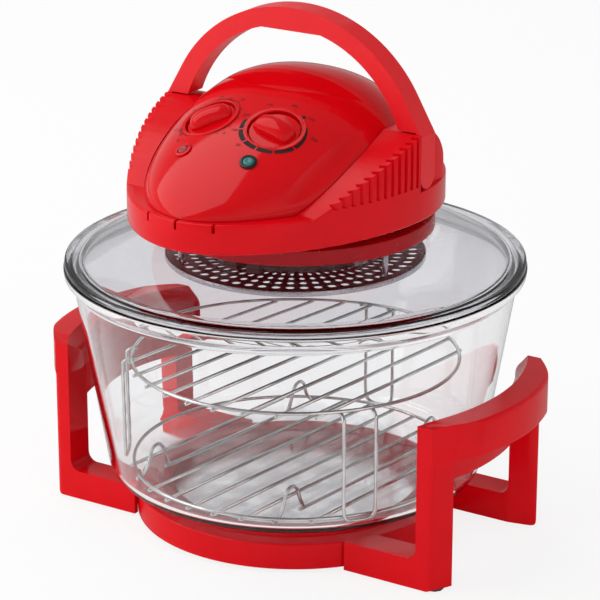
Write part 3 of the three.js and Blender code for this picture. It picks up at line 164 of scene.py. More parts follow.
def draw(name: str, points: Sequence[Sequence[float]]) -> Object:
    """Draws a line by extruding one vertex from point to point. It stays in edit mode.

    Args:
        name: name of the new piece.
        points: corners of the line in millimetres.

    Returns:
        The new piece.
    """
    deselect()
    bpy.ops.mesh.primitive_plane_add(size=MM, location=(0, 0, 0))
    piece = bpy.context.object
    piece.name = name
    bpy.ops.object.mode_set(mode="EDIT")
    bpy.ops.mesh.select_mode(type="VERT")
    bpy.ops.mesh.select_all(action="SELECT")
    bpy.ops.mesh.merge(type="CENTER")
    bpy.ops.transform.translate(value=Vector(points[0]) * MM)
    for before, after in zip(points, points[1:]):
        step = (Vector(after) - Vector(before)) * MM
        bpy.ops.mesh.extrude_region_move(TRANSFORM_OT_translate={"value": step})
    return piece


def tidy() -> None:
    """Merges doubles and turns faces outwards, in edit mode, then leaves it."""
    bpy.ops.mesh.select_all(action="SELECT")
    bpy.ops.mesh.remove_doubles(threshold=0.002 * MM)
    bpy.ops.mesh.normals_make_consistent(inside=False)
    bpy.ops.object.mode_set(mode="OBJECT")


def turn(name: str, line: Line, steps: int = TURN_STEPS, closed: bool = True, centre: float = 0.0) -> Object:
    """Spins a section round an upright axis.

    Args:
        name: name of the new piece.
        line: section as radius and height.
        steps: steps in the full turn.
        closed: joins the last point to the first; leave it off where both ends lie on the axis.
        centre: place of the axis along X.

    Returns:
        The turned piece.
    """
    section = [*line, line[0]] if closed else line
    piece = draw(name, [(centre + radius, 0, height) for radius, height in section])
    bpy.ops.mesh.select_all(action="SELECT")
    bpy.ops.mesh.spin(steps=steps, angle=math.tau, center=(centre * MM, 0, 0), axis=(0, 0, 1))
    tidy()
    return piece


def prism(name: str, outline: Line, along: str, start: float, end: float) -> Object:
    """Extrudes a flat outline along X, Y or Z.

    Args:
        name: name of the new piece.
        outline: corners in the two other directions, in the order X, Y, Z.
        along: direction of the extrusion.
        start: where it starts.
        end: where it ends.

    Returns:
        The closed prism.
    """
    place = {
        "X": lambda u, v: (start, u, v),
        "Y": lambda u, v: (u, start, v),
        "Z": lambda u, v: (u, v, start),
    }[along]
    piece = draw(name, [place(u, v) for u, v in outline])
    bpy.ops.mesh.select_all(action="SELECT")
    bpy.ops.mesh.edge_face_add()
    run = Vector([(end - start) * MM if axis == along else 0 for axis in "XYZ"])
    bpy.ops.mesh.extrude_region_move(TRANSFORM_OT_translate={"value": run})
    tidy()
    return piece


def rounded(corners: Sequence[tuple[float, float, float]], per: int = 5, closed: bool = True) -> Line:
    """Rounds the corners of a section.

    Args:
        corners: place and radius of each corner.
        per: points in each rounding.
        closed: whether the last corner joins the first.

    Returns:
        The section with its corners rounded.
    """
    line: Line = []
    count = len(corners)
    for i, (x, y, radius) in enumerate(corners):
        here = Vector((x, y))
        if radius == 0 or (not closed and i in (0, count - 1)):
            line.append((x, y))
            continue
        before = Vector(corners[i - 1][:2]) - here
        after = Vector(corners[(i + 1) % count][:2]) - here
        bend = (math.pi - before.angle(after)) / 2
        reach = min(radius * math.tan(bend), before.length * 0.49, after.length * 0.49)
        start, end = here + before.normalized() * reach, here + after.normalized() * reach
        for k in range(per + 1):
            t = k / per
            point = start * (1 - t) ** 2 + here * 2 * t * (1 - t) + end * t ** 2
            line.append((point.x, point.y))
    return line


def eased(points: Sequence[Sequence[float]], per: int = 6) -> list[Vector]:
    """Runs a smooth curve through points.

    Args:
        points: places the curve goes through.
        per: steps between two of them.

    Returns:
        Points along the curve.
    """
    known = [Vector(p) for p in points]
    padded = [known[0] * 2 - known[1], *known, known[-1] * 2 - known[-2]]
    line = []
    for a, b, c, d in zip(padded, padded[1:], padded[2:], padded[3:]):
        for k in range(per):
            t = k / per
            line.append(0.5 * (2 * b + (c - a) * t + (2 * a - 5 * b + 4 * c - d) * t ** 2
                               + (3 * b - a - 3 * c + d) * t ** 3))
    return [*line, known[-1]]


def watertight(piece: Object) -> bool:
    """Looks whether every edge of a piece has two faces.

    Args:
        piece: piece to look at.

    Returns:
        True if it is closed.
    """
    shape = bmesh.new()
    shape.from_mesh(piece.data)
    closed = all(edge.is_manifold for edge in shape.edges)
    shape.free()
    return closed


def combine(body: Object, tool: Object, how: str = "DIFFERENCE") -> Object:
    """Cuts, joins or intersects two solids with an applied Boolean, and removes the second.

    Args:
        body: solid that stays.
        tool: solid that is used up.
        how: DIFFERENCE, UNION or INTERSECT.

    Returns:
        The changed solid.
    """
    only(body)
    bpy.ops.object.modifier_add(type="BOOLEAN")
    change = body.modifiers[-1]
    change.operation = how
    change.object = tool
    change.solver = "MANIFOLD" if watertight(body) and watertight(tool) else "EXACT"
    solver = change.solver
    bpy.ops.object.modifier_apply(modifier=change.name)
    if not body.data.polygons or solver == "EXACT":
        LOG.warning("%s with %s: %s gave %d faces", body.name, tool.name, solver, len(body.data.polygons))
    bpy.data.objects.remove(tool)
    return body


def soften(body: Object, width: float, angle: float = 40, segments: int = 2) -> Object:
    """Rounds the sharp edges of a solid with an applied Bevel.

    Args:
        body: solid to round.
        width: width of the rounding in millimetres.
        angle: edges sharper than this, in degrees, are rounded.
        segments: faces across the rounding.

    Returns:
        The same solid.
    """
    only(body)
    bpy.ops.object.modifier_add(type="BEVEL")
    change = body.modifiers[-1]
    change.width = width * MM
    change.segments = segments
    change.limit_method = "ANGLE"
    change.angle_limit = math.radians(angle)
    change.use_clamp_overlap = True
    bpy.ops.object.modifier_apply(modifier=change.name)
    return body


def merge_flat(body: Object, angle: float = 0.2) -> Object:
    """Merges the faces of a body that lie in one plane, so that its edges round off evenly.

    Args:
        body: solid whose faces are merged.
        angle: how far apart, in degrees, two faces may lean.

    Returns:
        The same solid.
    """
    edit(body)
    bpy.ops.mesh.dissolve_limited(angle_limit=math.radians(angle))
    bpy.ops.object.mode_set(mode="OBJECT")
    return body


def handle_axis() -> Matrix:
    """Place of the handle's axis: its origin in the middle, its Z along the stub pins."""
    return Matrix.Translation(Vector((0, PIVOT_Y, PIVOT_Z)) * MM) @ Matrix.Rotation(math.pi / 2, 4, "Y")


def shade(body: Object, angle: float = 30) -> Object:
    """Smooths the shading of all but the sharp edges.

    Args:
        body: piece to shade.
        angle: edges sharper than this, in degrees, stay sharp.

    Returns:
        The same piece.
    """
    only(body)
    bpy.ops.object.shade_smooth_by_angle(angle=math.radians(angle))
    return body


def join(name: str, parts: Sequence[Object]) -> Object:
    """Joins pieces into one object.

    Args:
        name: name of the joined object.
        parts: pieces to join; the first one stays.

    Returns:
        The joined object.
    """
    deselect()
    for part in parts:
        part.select_set(True)
    bpy.context.view_layer.objects.active = parts[0]
    if len(parts) > 1:
        bpy.ops.object.join()
    parts[0].name = name
    return parts[0]


def copy_of(piece: Object, name: str) -> Object:
    """Copies a piece with a mesh of its own.

    Args:
        piece: piece to copy.
        name: name of the copy.

    Returns:
        The copy.
    """
    twin = piece.copy()
    twin.data = piece.data.copy()
    twin.name = name
    bpy.context.scene.collection.objects.link(twin)
    return twin


def mirrored(piece: Object, name: str) -> Object:
    """Copies a piece to the other side of the middle plane.

    Args:
        piece: piece to copy.
        name: name of the copy.

    Returns:
        The mirror image.
    """
    twin = copy_of(piece, name)
    twin.data.transform(Matrix.Scale(-1, 4, (1, 0, 0)))
    edit(twin)
    bpy.ops.mesh.normals_make_consistent(inside=False)
    bpy.ops.object.mode_set(mode="OBJECT")
    return twin


def wire(name: str, points: Sequence[Sequence[float]], radius: float, closed: bool = False) -> Object:
    """Bends a round bar along a line.

    Args:
        name: name of the new piece.
        points: middle line in millimetres.
        radius: radius of the bar.
        closed: joins its ends.

    Returns:
        The bar as a mesh.
    """
    piece = draw(name, [*points, points[0]] if closed else points)
    bpy.ops.mesh.select_all(action="SELECT")
    bpy.ops.mesh.remove_doubles(threshold=0.01 * MM)
    bpy.ops.object.mode_set(mode="OBJECT")
    bpy.ops.object.convert(target="CURVE")
    piece = bpy.context.object
    piece.data.bevel_depth = radius * MM
    piece.data.bevel_resolution = 2
    piece.data.use_fill_caps = not closed
    bpy.ops.object.convert(target="MESH")
    piece = bpy.context.object
    edit(piece)
    tidy()
    bpy.ops.object.shade_smooth()
    return piece


def post(name: str, radius: float, low: float, high: float, place: Matrix, sides: int = 96) -> Object:
    """Makes a round post in a local frame, as a solid to cut or join with.

    Args:
        name: name of the new piece.
        radius: radius of the post.
        low: height of its lower end.
        high: height of its upper end.
        place: frame that it stands in, in metres.
        sides: sides of the post.

    Returns:
        The post.
    """
    deselect()
    bpy.ops.mesh.primitive_cylinder_add(
        vertices=sides, radius=radius * MM, depth=(high - low) * MM, location=(0, 0, (high + low) / 2 * MM),
    )
    piece = bpy.context.object
    piece.name = name
    bpy.ops.object.transform_apply()
    piece.data.transform(place)
    return piece


def surface(across: int, along: int, place: Callable[[float, float], Vector]) -> Object:
    """Bends a flat grid to a curved surface.

    Args:
        across: faces along the grid's X.
        along: faces along its Y.
        place: gives the point in millimetres for a grid point, both from -1 to 1.

    Returns:
        The open sheet.
    """
    deselect()
    bpy.ops.mesh.primitive_grid_add(x_subdivisions=across, y_subdivisions=along, size=2)
    piece = bpy.context.object
    for vertex in piece.data.vertices:
        vertex.co = place(vertex.co.x, vertex.co.y) * MM
    return piece


def circle(radius: float, count: int, height: float = 0.0) -> list[tuple[float, float, float]]:
    """Points of a level circle."""
    return [(radius * math.cos(math.tau * i / count), radius * math.sin(math.tau * i / count), height)
            for i in range(count)]


# Finishes

def bare_material(name: str) -> tuple[Material, NodeTree, Node]:
    """Starts a material with only a Principled shader linked to its output.

    Args:
        name: name of the material.

    Returns:
        The material, its node tree and its shader.
    """
    material = bpy.data.materials.new(name)
    material.use_nodes = True
    tree = material.node_tree
    tree.nodes.clear()
    shader = add_node(tree, "ShaderNodeBsdfPrincipled")
    add_node(tree, "ShaderNodeOutputMaterial", {"Surface": shader.outputs[0]})
    return material, tree, shader


@dataclass(frozen=True)
class Opaque:
    """Surface that light doesn't pass: drifting tone, uneven gloss and a fine grain.

    Each patch is the width of its lumps in millimetres and the number of finer layers in them.
    The grain is drawn coarser than the real one, which would be too fine to show.
    """

    name: str
    colour: str
    shade: str
    roughness: float
    grain: float
    depth: float

    patch: ClassVar[Pair]
    gloss_patch: ClassVar[Pair]
    gloss_range: ClassVar[Pair]
    grain_detail: ClassVar[float]
    relief: ClassVar[float]

    def build(self) -> Material:
        """Makes the material from its patches, its gloss and its grain.

        Returns:
            The material.
        """
        material, tree, shader = bare_material(self.name)
        place = add_node(tree, "ShaderNodeTexCoord")
        patch, sheen, skin = [add_node(tree, "ShaderNodeTexNoise", {
            "Vector": place.outputs["Object"], "Scale": 1 / (size * MM), "Detail": detail,
        }) for size, detail in (self.patch, self.gloss_patch, (self.grain, self.grain_detail))]
        dull, bright = [self.roughness * share for share in self.gloss_range]
        drift, gloss = [add_node(tree, "ShaderNodeMapRange", {
            "Value": source.outputs["Fac"], "From Min": NOISE_LOW, "From Max": NOISE_HIGH,
            "To Min": low, "To Max": high,
        }) for source, low, high in ((patch, 0, 1), (sheen, dull, bright))]
        tone = add_node(tree, "ShaderNodeMix", {
            "Factor": drift.outputs[0], 6: linear(self.colour), 7: linear(self.shade),
        }, data_type="RGBA")
        bump = add_node(tree, "ShaderNodeBump", {
            "Height": skin.outputs["Fac"], "Strength": self.relief, "Distance": self.depth * MM,
        })
        tree.links.new(tone.outputs[2], shader.inputs["Base Color"])
        tree.links.new(gloss.outputs[0], shader.inputs["Roughness"])
        tree.links.new(bump.outputs[0], shader.inputs["Normal"])
        self.finish(shader)
        return material

    def finish(self, shader: Node) -> None:
        """Sets what only this kind of surface has."""


@dataclass(frozen=True)
class Moulded(Opaque):
    """Injection-moulded or pressed plastic, rubber or ceramic."""

    ior: float = 1.54
    shine: float = 0.5

    patch: ClassVar[Pair] = (38, 2)
    gloss_patch: ClassVar[Pair] = (9, 2)
    gloss_range: ClassVar[Pair] = (0.85, 1.2)
    grain_detail: ClassVar[float] = 3
    relief: ClassVar[float] = 0.4

    def finish(self, shader: Node) -> None:
        """Sets how strongly it mirrors."""
        shader.inputs["IOR"].default_value = self.ior
        shader.inputs["Specular IOR Level"].default_value = self.shine


@dataclass(frozen=True)
class Metal(Opaque):
    """Plated, rolled or cast metal."""

    patch: ClassVar[Pair] = (14, 3)
    gloss_patch: ClassVar[Pair] = (3, 2)
    gloss_range: ClassVar[Pair] = (0.7, 1.3)
    grain_detail: ClassVar[float] = 2
    relief: ClassVar[float] = 0.5

    def finish(self, shader: Node) -> None:
        """Makes it a metal."""
        shader.inputs["Metallic"].default_value = 1.0


@dataclass(frozen=True)
class Clear:
    """Pressed glass or drawn quartz that lets light through; below a height, if it has one, its base is
    painted grey as shade and made rougher.
    """

    name: str
    colour: str
    roughness: float
    ior: float
    wave: float
    depth: float
    # Below this height the base is painted grey as shade and made rougher
    base_shade_height: float = 0.0
    base_shade_colour: str = "#BDBABD"
    base_shade_roughness: float = 0.22
    base_shade_edge: float = 4.0
    base_shade_fade: float = 7.0
    base_shade_least: float = 0.78

    relief: ClassVar[float] = 0.25
    shadow: ClassVar[str] = "#F2F4F4"
    edge_patch: ClassVar[Pair] = (26, 4)
    base_shade_patch: ClassVar[Pair] = (30, 3)

    def build(self) -> Material:
        """Makes the material: clear body, slight waviness, and light passes through it in shadows.

        Returns:
            The material.
        """
        material, tree, shader = bare_material(self.name)
        shader.inputs["Base Color"].default_value = linear(self.colour)
        shader.inputs["Roughness"].default_value = self.roughness
        shader.inputs["IOR"].default_value = self.ior
        shader.inputs["Transmission Weight"].default_value = 1.0
        # Painted shade in the base, where it has one
        if self.base_shade_height:
            self.paint_base_shade(tree, shader)
        place = add_node(tree, "ShaderNodeTexCoord")
        swell = add_node(tree, "ShaderNodeTexNoise", {
            "Vector": place.outputs["Object"], "Scale": 1 / (self.wave * MM), "Detail": 1,
        })
        bump = add_node(tree, "ShaderNodeBump", {
            "Height": swell.outputs["Fac"], "Strength": self.relief, "Distance": self.depth * MM,
        })
        tree.links.new(bump.outputs[0], shader.inputs["Normal"])
        rays = add_node(tree, "ShaderNodeLightPath")
        soft = add_node(tree, "ShaderNodeMath", {
            0: rays.outputs["Is Shadow Ray"], 1: rays.outputs["Is Diffuse Ray"],
        }, operation="MAXIMUM")
        through = add_node(tree, "ShaderNodeBsdfTransparent", {"Color": linear(self.shadow)})
        mix = add_node(tree, "ShaderNodeMixShader", {
            0: soft.outputs[0], 1: shader.outputs[0], 2: through.outputs[0],
        })
        out = next(n for n in tree.nodes if n.type == "OUTPUT_MATERIAL")
        tree.links.new(mix.outputs[0], out.inputs["Surface"])
        return material

    def paint_base_shade(self, tree: NodeTree, shader: Node) -> None:
        """Paints the base grey as shade and makes it rougher, with a mottled edge.

        Args:
            tree: node tree of the material.
            shader: its glass shader.
        """
        place = add_node(tree, "ShaderNodeTexCoord")
        height = add_node(tree, "ShaderNodeSeparateXYZ", {"Vector": place.outputs["Object"]})
        edge = self.base_shade_edge * MM
        uneven, patchy = [add_node(tree, "ShaderNodeMapRange", {
            "Value": add_node(tree, "ShaderNodeTexNoise", {
                "Vector": place.outputs["Object"], "Scale": 1 / (size * MM), "Detail": detail,
            }).outputs["Fac"], "From Min": NOISE_LOW, "From Max": NOISE_HIGH, "To Min": low, "To Max": high,
        }) for (size, detail), low, high in (
            (self.edge_patch, -edge, edge), (self.base_shade_patch, self.base_shade_least, 1.0))]
        level = add_node(tree, "ShaderNodeMath", {
            0: height.outputs["Z"], 1: uneven.outputs[0],
        }, operation="ADD")
        share = add_node(tree, "ShaderNodeMapRange", {
            "Value": level.outputs[0], "From Min": self.base_shade_height * MM,
            "From Max": (self.base_shade_height + self.base_shade_fade) * MM, "To Min": 1.0, "To Max": 0.0,
        })
        amount = add_node(tree, "ShaderNodeMath", {
            0: share.outputs[0], 1: patchy.outputs[0],
        }, operation="MULTIPLY")
        rough = add_node(tree, "ShaderNodeMapRange", {
            "Value": amount.outputs[0], "To Min": self.roughness, "To Max": self.base_shade_roughness,
        })
        tone = add_node(tree, "ShaderNodeMix", {
            "Factor": amount.outputs[0], 6: linear(self.colour), 7: linear(self.base_shade_colour),
        }, data_type="RGBA")
        tree.links.new(rough.outputs[0], shader.inputs["Roughness"])
        tree.links.new(tone.outputs[2], shader.inputs["Base Color"])


class Finish(Enum):
    """Every finish of the oven, by what the real surface is."""

    # ABS dome with a polished mould: deep red, sharp reflections over a faint orange peel
    RED_GLOSS = Moulded("abs_polished_red", "#E00411", "#D80410", 0.09, 2.4, 0.003, 1.54, 0.34)
    # ABS housing, stand and handle from a satin mould: broader, softer reflections
    RED_SATIN = Moulded("abs_satin_red", "#E80616", "#E00514", 0.16, 1.1, 0.003, 1.54, 0.22)
    # The handle's mould is less polished: a wide, pale sheen along its upper faces; its red is painted
    # lighter than the satin red, as painted light
    RED_HANDLE = Moulded("abs_handle_red_painted_light", "#F40C1C", "#EE0A1A", 0.34, 1.1, 0.003, 1.54, 0.45)
    # Neck moulded in the same red, darker because light hardly reaches it
    RED_NECK = Moulded("abs_neck_red", "#B80A18", "#AA0816", 0.24, 1.4, 0.004, 1.54, 0.3)
    # Borosilicate, pressed: clear, barely wavy, dark where seen edge on; its base is painted grey as shade,
    # for the shaded floor seen through it, and made rougher
    GLASS = Clear("borosilicate_glass", "#FAFAFB", 0.0, 1.473, 60, 0.1, 27.0)
    # The lid is toughened soda-lime glass; its colour is set a little greyer than the bowl's
    LID_GLASS = Clear("toughened_soda_lime_glass", "#DFDEE2", 0.0, 1.52, 60, 0.1)
    # Chrome plate over drawn steel wire: bright, with small dull patches at the welds
    WIRE = Metal("chrome_plated_wire", "#DADAD8", "#C2C1BE", 0.17, 0.9, 0.01)
    # Perforated steel guard, black enamelled: nearly black with a soft gloss
    GUARD = Moulded("black_enamelled_steel", "#2A282A", "#222022", 0.3, 1.2, 0.015)
    # Bright zinc-plated fasteners, shaft and reflector sheet
    STEEL = Metal("bright_zinc_steel", "#C6C8CA", "#AEB1B4", 0.24, 0.8, 0.01)
    # Die-cast aluminium: dull silver with a coarse skin
    ALUMINIUM = Metal("die_cast_aluminium", "#B9BABC", "#A4A6A8", 0.42, 0.7, 0.03)
    # Copper wire under amber enamel: warm brown, ribbed by its turns
    COPPER = Metal("enamelled_copper_winding", "#B5672E", "#9A5424", 0.3, 0.45, 0.12)
    # Stamped brass: pale yellow, smooth and fairly bright
    BRASS = Metal("brass_contact", "#C9A24C", "#B48E3C", 0.28, 0.8, 0.01)
    # Punched silicon steel, stacked: dark grey and dull
    LAMINATION = Metal("silicon_steel_stack", "#5C5E62", "#4A4C50", 0.45, 0.5, 0.05)
    # PBT, moulded: the black of switchgear, with a soft gloss
    BLACK = Moulded("pbt_black", "#1A1A1B", "#151516", 0.42, 0.8, 0.03)
    # Compression-moulded rubber: matt dark grey
    RUBBER = Moulded("grey_rubber", "#4A4A4B", "#404041", 0.75, 0.7, 0.05, 1.52)
    # Moulded silicone: mid grey with a waxy sheen
    SILICONE = Moulded("grey_silicone", "#8C8E90", "#808284", 0.5, 1.0, 0.03, 1.41)
    # Pressed and fired steatite: off-white, between matt and satin
    CERAMIC = Moulded("steatite_ceramic", "#E6E1D6", "#DAD4C8", 0.5, 0.6, 0.03, 1.6)
    # Pressed cordierite, matt, painted dark as shade because the lamp caps sit in shade
    BROWNED = Moulded("cordierite_painted_shade", "#5C554D", "#4A443E", 0.6, 0.6, 0.03, 1.55)
    # Drawn quartz: clear with a faint haze
    QUARTZ = Clear("quartz_tube", "#F6F4F0", 0.08, 1.458, 20, 0.05)
    # Pad-printed ink: matt, nearly black
    INK = Moulded("pad_print_ink", "#241A1B", "#1C1415", 0.55, 0.6, 0.01, 1.5)
    # Polycarbonate lenses, polished in front and frosted behind: deep colour under a bright spot
    RED_LENS = Moulded("polycarbonate_lens_red", "#B4323A", "#8E1E28", 0.08, 2.0, 0.01, 1.585)
    TEAL_LENS = Moulded("polycarbonate_lens_teal", "#3F8C88", "#2A6E6C", 0.08, 2.0, 0.01, 1.585)
    # Polycarbonate ring round the heat lens: black with a clear highlight
    BEZEL = Moulded("lens_bezel_black", "#1E2224", "#181B1D", 0.2, 1.0, 0.01)


MADE: dict[Finish, Material] = {}


def material_of(finish: Finish) -> Material:
    """Makes the material of a finish once, and gives the same one after that.

    Args:
        finish: the finish.

    Returns:
        Its material.
    """
    if finish not in MADE:
        MADE[finish] = finish.value.build()
    return MADE[finish]


def dress(piece: Object, finish: Finish, slot: str, body: str, *nodes: str) -> None:
    """Gives a finished piece its material and body, and hides the CAD nodes that it stands for.

    Args:
        piece: the finished piece.
        finish: its finish.
        slot: the record's material slot; not used.
        body: CAD body that it moves with.
        nodes: CAD nodes that it stands for.
    """
    only(piece)
    bpy.ops.object.transform_apply()
    piece.data.materials.clear()
    piece.data.materials.append(material_of(finish))
    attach(piece, body)
    if nodes:
        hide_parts(*nodes)
    LOG.info("%s: %d faces, %s", piece.name, len(piece.data.polygons), finish.value.name)


def body_holding(node: str) -> str:
    """Name of the CAD body that holds a node."""
    return frame["nodes"][node]["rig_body"]


# Stand

@dataclass
class Stand:
    """Red ring under the bowl and the two side frames with their grips."""

    inner: float = 92.0
    outer: float = 119.0
    bottom: float = 2.4
    top: float = 22.0
    seat_top: float = 23.7
    seat_width: float = 14.0
    wall: float = 2.5
    reach: float = 193.5
    grip_radius: float = 160.0
    grip_centre: float = 33.5
    bow_end: float = 38.0
    leg_radius: float = 152.0
    leg_inner: float = 151.0
    heel_x: float = 176.0
    toe_x: float = 162.8
    near: float = 57.0
    far: float = 80.0
    bar_top: float = 23.5
    proud: float = 1.2
    grip_bottom: float = 100.0
    grip_top: float = 127.0
    grip_inner: float = 163.0
    grip_inner_top: float = 172.0
    grip_inner_height: float = 115.0
    skirt_bottom: float = 75.5
    fillet: float = 8.0
    ring_gap: float = 0.3
    tail: float = 7.0
    grip_edge: float = 3.2
    end_length: float = 11.0
    end_drop: float = 2.0
    foot_x: float = 160.0
    recess_radius: float = 7.3

    def ring(self) -> Object:
        """Turns the ring, an upside-down channel with a raised seat.

        Returns:
            The ring.
        """
        seat = self.inner + self.seat_width
        line = rounded([
            (self.outer, self.bottom, 0.4), (self.outer, self.top, 2.2), (seat, self.top, 1.0),
            (seat - 1.5, self.seat_top, 0.8), (self.inner, self.seat_top, 1.0),
            (self.inner, self.bottom, 0.4), (self.inner + self.wall, self.bottom, 0.4),
            (self.inner + self.wall, self.top - self.wall, 0.5),
            (self.outer - self.wall, self.top - self.wall, 0.5), (self.outer - self.wall, self.bottom, 0.4),
        ], 3)
        return shade(turn("stand_ring_moulding", line))

    def legs(self) -> Object:
        """Makes the two legs and foot bars of one frame.

        Returns:
            The legs, joined by their foot bars.
        """
        top = self.grip_bottom + 1
        corner = self.bar_top + self.fillet
        fillet = [(self.leg_inner - self.fillet * (1 - math.cos(a)), corner - self.fillet * math.sin(a))
                  for a in [math.pi / 2 * k / 8 for k in range(9)]]
        outline = [(self.inner, self.proud), (self.reach, self.proud), (self.reach, top),
                   (self.leg_inner, top), *fillet, (self.inner, self.bar_top)]
        legs = prism("legs", outline, "Y", self.near, self.far)
        legs = combine(legs, prism("front_leg", outline, "Y", -self.far, -self.near), "UNION")
        curve = turn("outer_curve", rounded([
            (0, self.proud, 0), (self.leg_radius, self.proud, 3), (self.leg_radius, top, 0), (0, top, 0),
        ], 4, False), closed=False, centre=self.grip_centre)
        legs = combine(legs, curve, "INTERSECT")
        face, high = self.outer + self.ring_gap, self.bar_top + 1
        room = turn("ring_room", [(0, 0), (face, 0), (face, high), (0, high)], closed=False)
        legs = combine(legs, room)
        back = self.inner - self.tail
        section = rounded([
            (back, self.near, 0), (self.leg_inner, self.near, 6), (self.heel_x, self.near + 5, 8),
            (self.toe_x, self.far, 7), (back, self.far, 0),
        ], 6)
        front = [(x, -y) for x, y in section]
        plans = join("leg_plans", [prism("leg_plan", line, "Z", -1, top + 1) for line in (section, front)])
        return combine(legs, plans, "INTERSECT")

    def grip(self) -> Object:
        """Makes the grip that hugs the bowl, with its stepped end and rounded plan.

        Returns:
            The grip.
        """
        block = turn("grip", rounded([
            (0, self.grip_bottom, 0), (self.grip_radius, self.grip_bottom, 1.2),
            (self.grip_radius, self.grip_top, self.grip_edge), (0, self.grip_top, 0),
        ], 6, False), closed=False, centre=self.grip_centre)
        side = [(-self.far, self.grip_bottom), (self.far, self.grip_bottom), (self.far, self.grip_top),
                (self.end_length - self.far, self.grip_top), (-self.far, self.grip_top - self.end_drop)]
        block = combine(block, prism("side", side, "X", self.grip_inner / 2, self.reach), "INTERSECT")
        plan = prism("plan", self.plan(), "Z", self.grip_bottom - 1, self.grip_top + 1)
        block = combine(block, plan, "INTERSECT")
        bowl = turn("bowl_side", rounded([
            (0, self.grip_bottom - 1, 0), (self.grip_inner, self.grip_bottom - 1, 0),
            (self.grip_inner, self.grip_inner_height, 14), (self.grip_inner_top, self.grip_top, 0),
            (self.grip_inner_top + 1, self.grip_top + 1, 0), (0, self.grip_top + 1, 0),
        ], 8, False), closed=False)
        return combine(block, bowl)

    def plan(self) -> Line:
        """Draws the plan of the grip: a bow over the bowl whose ends draw in to the legs.

        Returns:
            The plan as X and Y.
        """
        count = 20
        line = []
        for k in range(count + 1):
            y = self.bow_end * (2 * k / count - 1)
            line.append((self.grip_centre + math.sqrt(self.grip_radius ** 2 - y * y), y))
        end = line[-1][0]
        draw_in = [(end + (self.toe_x - end) * t ** 1.5, self.bow_end + (self.far - self.bow_end) * t)
                   for t in [k / 10 for k in range(1, 11)]]
        front = [(x, -y) for x, y in reversed(draw_in)]
        inside = self.grip_inner / 2
        return [*front, *line, *draw_in, (inside, self.far), (inside, -self.near),
                (self.leg_inner, -self.near), (self.leg_inner, -self.far)]

    def side_frame(self) -> Object:
        """Joins legs, grip and the skirt under the grip into the right frame.

        Returns:
            The right frame.
        """
        body = combine(self.legs(), self.grip(), "UNION")
        skirt = turn("skirt", rounded([
            (self.grip_inner, self.skirt_bottom, 1.5), (self.grip_inner + 6, self.skirt_bottom, 2.5),
            (self.grip_inner + 9, self.grip_bottom + 1, 0), (self.grip_inner, self.grip_bottom + 1, 0),
        ], 4))
        room = prism("skirt_room", [
            (self.grip_inner / 2, -self.near - 1), (self.reach, -self.near - 1),
            (self.reach, self.near + 1), (self.grip_inner / 2, self.near + 1),
        ], "Z", self.skirt_bottom - 1, self.grip_top)
        body = combine(body, combine(skirt, room, "INTERSECT"), "UNION")
        middle = (self.near + self.far) / 2
        for side in (1, -1):
            place = Matrix.Translation(Vector((self.foot_x, side * middle, 0)) * MM)
            recess = post("foot_recess", self.recess_radius, self.proud - 1, self.proud + 2, place, 48)
            body = combine(body, recess)
        return shade(soften(merge_flat(body, 0.5), 0.9, 38, 3), 32)

    def build(self) -> None:
        """Builds and dresses the stand."""
        ring = self.ring()
        right = self.side_frame()
        right.name = "right_frame_moulding"
        left = shade(mirrored(right, "left_frame_moulding"), 32)
        for piece, node in ((ring, "stand_ring"), (right, "right_side_frame"), (left, "left_side_frame")):
            dress(piece, Finish.RED_SATIN, "red_satin", body_holding(node), node)


# Bowl and racks

